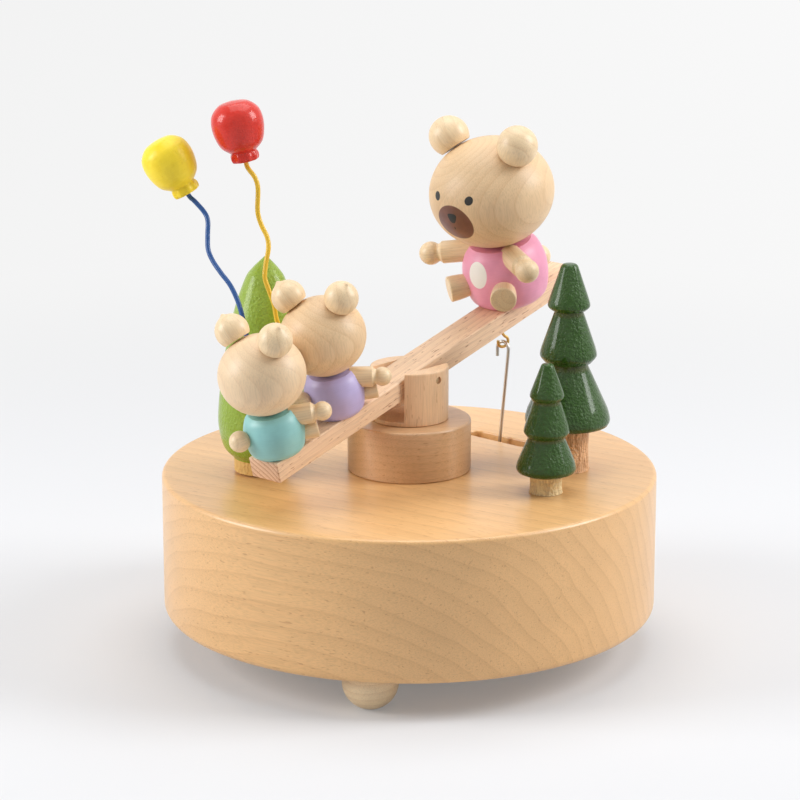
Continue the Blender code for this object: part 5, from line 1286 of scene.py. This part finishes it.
class MUSICBOX_OT_movement(MakerOperator, bpy.types.Operator):
    """Make the winding key and give the movement inside its metals"""
    bl_idname = "musicbox.movement"
    bl_label = "Movement And Key"

    def make(self, shop):
        for slot, nodes in (
                ("brass", ("movement_frame", "tune_cylinder")),
                ("steel", ("steel_comb", "crank_disc", "spring_barrel", "mainspring",
                           "governor_wheel", "governor_fan"))):
            for name in nodes:
                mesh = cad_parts[name].data
                mesh.materials.clear()
                mesh.materials.append(shop.finishes[slot])
        bottom, top = levels("winding_key")
        radius, socket, depth = 3.6, 2.3, 3.8
        key = shop.turned(eased([(0.0, top - depth), (socket, top - depth), (socket, top, 0.15),
                                 (radius, top, 0.3), (radius, bottom, 1.4), (0.0, bottom)], 6),
                          "brass", 72)
        for side in (1, -1):
            key = combine(key, self.wing(side, bottom), "UNION")
        shop.piece("wing_key", key, "brass", "key", ["winding_key"], KEY_PLACE, sharp=32.0)
        bottom, top = levels("winding_arbor")
        thick, thin, shoulder = 2.0, 1.5, top - 1.1
        arbor = shop.turned(eased([(0.0, top), (thin, top, 0.2), (thin, shoulder),
                                   (thick, shoulder, 0.1), (thick, bottom, 0.3), (0.0, bottom)]),
                            "steel", 48)
        shop.piece("arbor", arbor, "steel", "key", ["winding_arbor"], KEY_PLACE, sharp=32.0)

    def wing(self, side, bottom):
        """One flat wing of the key with a rounded end and eased edges."""
        half, reach, root, thickness = 2.75, 11.0, 2.9, 1.6
        outline = [(root, bottom + 2 * half)]
        outline += sweep((reach - half, bottom + half), (half, half), 90, -90, 20)
        outline += [(root, bottom)]
        shape = bmesh.new()
        ring = [shape.verts.new((side * x * MM, -thickness / 2 * MM, z * MM)) for x, z in outline]
        grown = bmesh.ops.extrude_face_region(shape, geom=[shape.faces.new(ring)])
        for element in grown["geom"]:
            if isinstance(element, bmesh.types.BMVert):
                element.co.y += thickness * MM
        rims = [edge for edge in shape.edges
                if abs(edge.verts[0].co.y - edge.verts[1].co.y) < 0.000001]
        bmesh.ops.bevel(shape, geom=rims, offset=0.3 * MM, segments=3, affect="EDGES")
        bmesh.ops.recalc_face_normals(shape, faces=shape.faces)
        return mesh_of(shape)


class MUSICBOX_OT_stage(bpy.types.Operator):
    """Set up the pale floor, the soft lamps and the photograph's camera"""
    bl_idname = "musicbox.stage"
    bl_label = "Stage"
    bl_options = {"REGISTER", "UNDO"}

    def execute(self, context):
        stage = context.scene.music_box_stage
        self.make_world(stage)
        self.make_floor(stage)
        for name, spot, width, height in LAMPS:
            self.make_lamp(f"{name}_panel", getattr(stage, f"{name}_lamp"), spot, width, height)
        self.make_camera(context.scene)
        context.scene.view_settings.view_transform = "Standard"
        return {"FINISHED"}

    def seen(self, finish):
        """1 for rays that show the backdrop: the camera's, mirrored and refracted ones."""
        path = finish.node("ShaderNodeLightPath", output="Is Camera Ray")
        return path.most(path.other("Is Glossy Ray")).most(path.other("Is Transmission Ray"))

    def make_world(self, stage):
        world = bpy.data.worlds.new("studio")
        world.use_nodes = True
        finish = Finish(tree=world.node_tree)
        pale = (stage.backdrop, stage.backdrop, stage.backdrop)
        shown = finish.node("ShaderNodeBackground", {}, {"Color": pale, "Strength": 1.0})
        light = finish.node("ShaderNodeBackground", {},
                            {"Color": (1.0, 1.0, 1.0), "Strength": stage.ambient})
        mixed = finish.node("ShaderNodeMixShader", {}, {0: self.seen(finish), 1: light, 2: shown})
        finish.end(mixed, "ShaderNodeOutputWorld")
        bpy.context.scene.world = world

    def make_floor(self, stage):
        """A matte floor that takes on the backdrop's brightness away from the piece, with a painted
        gradient of light that is lighter to the right.
        """
        finish = Finish("studio_floor")
        spot = finish.place()
        tone = tuple(stage.floor)
        colour = finish.mix(finish.noise(spot, 3.0), tone, toned(tone, 0.985))
        matte = finish.node("ShaderNodeBsdfDiffuse", {}, {"Color": colour})
        x, y, _ = finish.split(spot)
        painted_light_slope = x * SCREEN_RIGHT.x + y * SCREEN_RIGHT.y
        # Painted light: the floor's glow is a little lighter to the right and darker to the left
        pale = stage.backdrop + painted_light_slope.most(-0.35).least(0.35) * 0.1
        glow = finish.node("ShaderNodeEmission", {}, {"Color": (1.0, 1.0, 1.0), "Strength": pale})
        distance = (x * x + y * y).root()
        share = distance.step(0.09, 0.42) * (stage.far_glow - stage.floor_glow) + stage.floor_glow
        finish.end(finish.node("ShaderNodeMixShader", {},
                               {0: self.seen(finish) * share, 1: matte, 2: glow}))
        shape = bmesh.new()
        bmesh.ops.create_grid(shape, x_segments=24, y_segments=24, size=4.0)
        floor = linked("studio_floor", mesh_of(shape))
        floor.data.materials.append(finish.material)

    def make_lamp(self, name, power, spot, width, height):
        """A soft panel at a place given as right, away and up from the drum's middle."""
        data = bpy.data.lights.new(name, "AREA")
        data.shape = "RECTANGLE"
        data.size, data.size_y = width, height
        data.energy = power
        lamp = linked(name, data)
        place = SCREEN_RIGHT * spot[0] + SCREEN_AWAY * spot[1] + Vector((0, 0, spot[2]))
        target = Vector((0, 0, DRUM_TOP))
        lamp.location = place
        lamp.rotation_euler = (target - place).to_track_quat("-Z", "Y").to_euler()

    def make_camera(self, scene):
        data = bpy.data.cameras.new("camera")
        data.sensor_width = 36.0
        data.lens = CAMERA_LENS
        data.clip_start, data.clip_end = 0.01, 20.0
        camera = linked("camera", data)
        level = CAMERA_DISTANCE * math.cos(CAMERA_RISE)
        camera.location = (Vector((0, 0, DRUM_TOP + CAMERA_DISTANCE * math.sin(CAMERA_RISE)))
                           - SCREEN_AWAY * level)
        look = (SCREEN_RIGHT * math.sin(CAMERA_YAW) + SCREEN_AWAY * math.cos(CAMERA_YAW))
        look = look * math.cos(CAMERA_PITCH) - Vector((0, 0, math.sin(CAMERA_PITCH)))
        camera.rotation_euler = look.to_track_quat("-Z", "Y").to_euler()
        scene.camera = camera


class MUSICBOX_PT_panel(bpy.types.Panel):
    """Lists the settings and the steps in order"""
    bl_idname = "MUSICBOX_PT_panel"
    bl_label = "Seesaw Music Box"
    bl_space_type = "VIEW_3D"
    bl_region_type = "UI"
    bl_category = "Music Box"

    def draw(self, context):
        layout = self.layout
        scene = context.scene
        for settings in (scene.music_box_sizes, scene.music_box_colours, scene.music_box_stage):
            box = layout.box()
            for name in settings.__annotations__:
                box.prop(settings, name)
        for step in STEPS:
            layout.operator(step.bl_idname)


STEPS = (MUSICBOX_OT_drum, MUSICBOX_OT_post, MUSICBOX_OT_plank, MUSICBOX_OT_bears,
         MUSICBOX_OT_trees, MUSICBOX_OT_balloons, MUSICBOX_OT_movement, MUSICBOX_OT_stage)
SETTINGS = (("music_box_sizes", MUSICBOX_PG_sizes), ("music_box_colours", MUSICBOX_PG_colours),
            ("music_box_stage", MUSICBOX_PG_stage))
CLASSES = (*(group for _, group in SETTINGS), *STEPS, MUSICBOX_PT_panel)


def register():
    for item in CLASSES:
        bpy.utils.register_class(item)
    for name, group in SETTINGS:
        setattr(bpy.types.Scene, name, PointerProperty(type=group))


def unregister():
    for name, _ in SETTINGS:
        delattr(bpy.types.Scene, name)
    for item in reversed(CLASSES):
        bpy.utils.unregister_class(item)


def main():
    register()
    bpy.ops.musicbox.drum()
    bpy.ops.musicbox.post()
    bpy.ops.musicbox.plank()
    bpy.ops.musicbox.bears()
    bpy.ops.musicbox.trees()
    bpy.ops.musicbox.balloons()
    bpy.ops.musicbox.movement()
    bpy.ops.musicbox.stage()


if __name__ == "__main__":
    main()
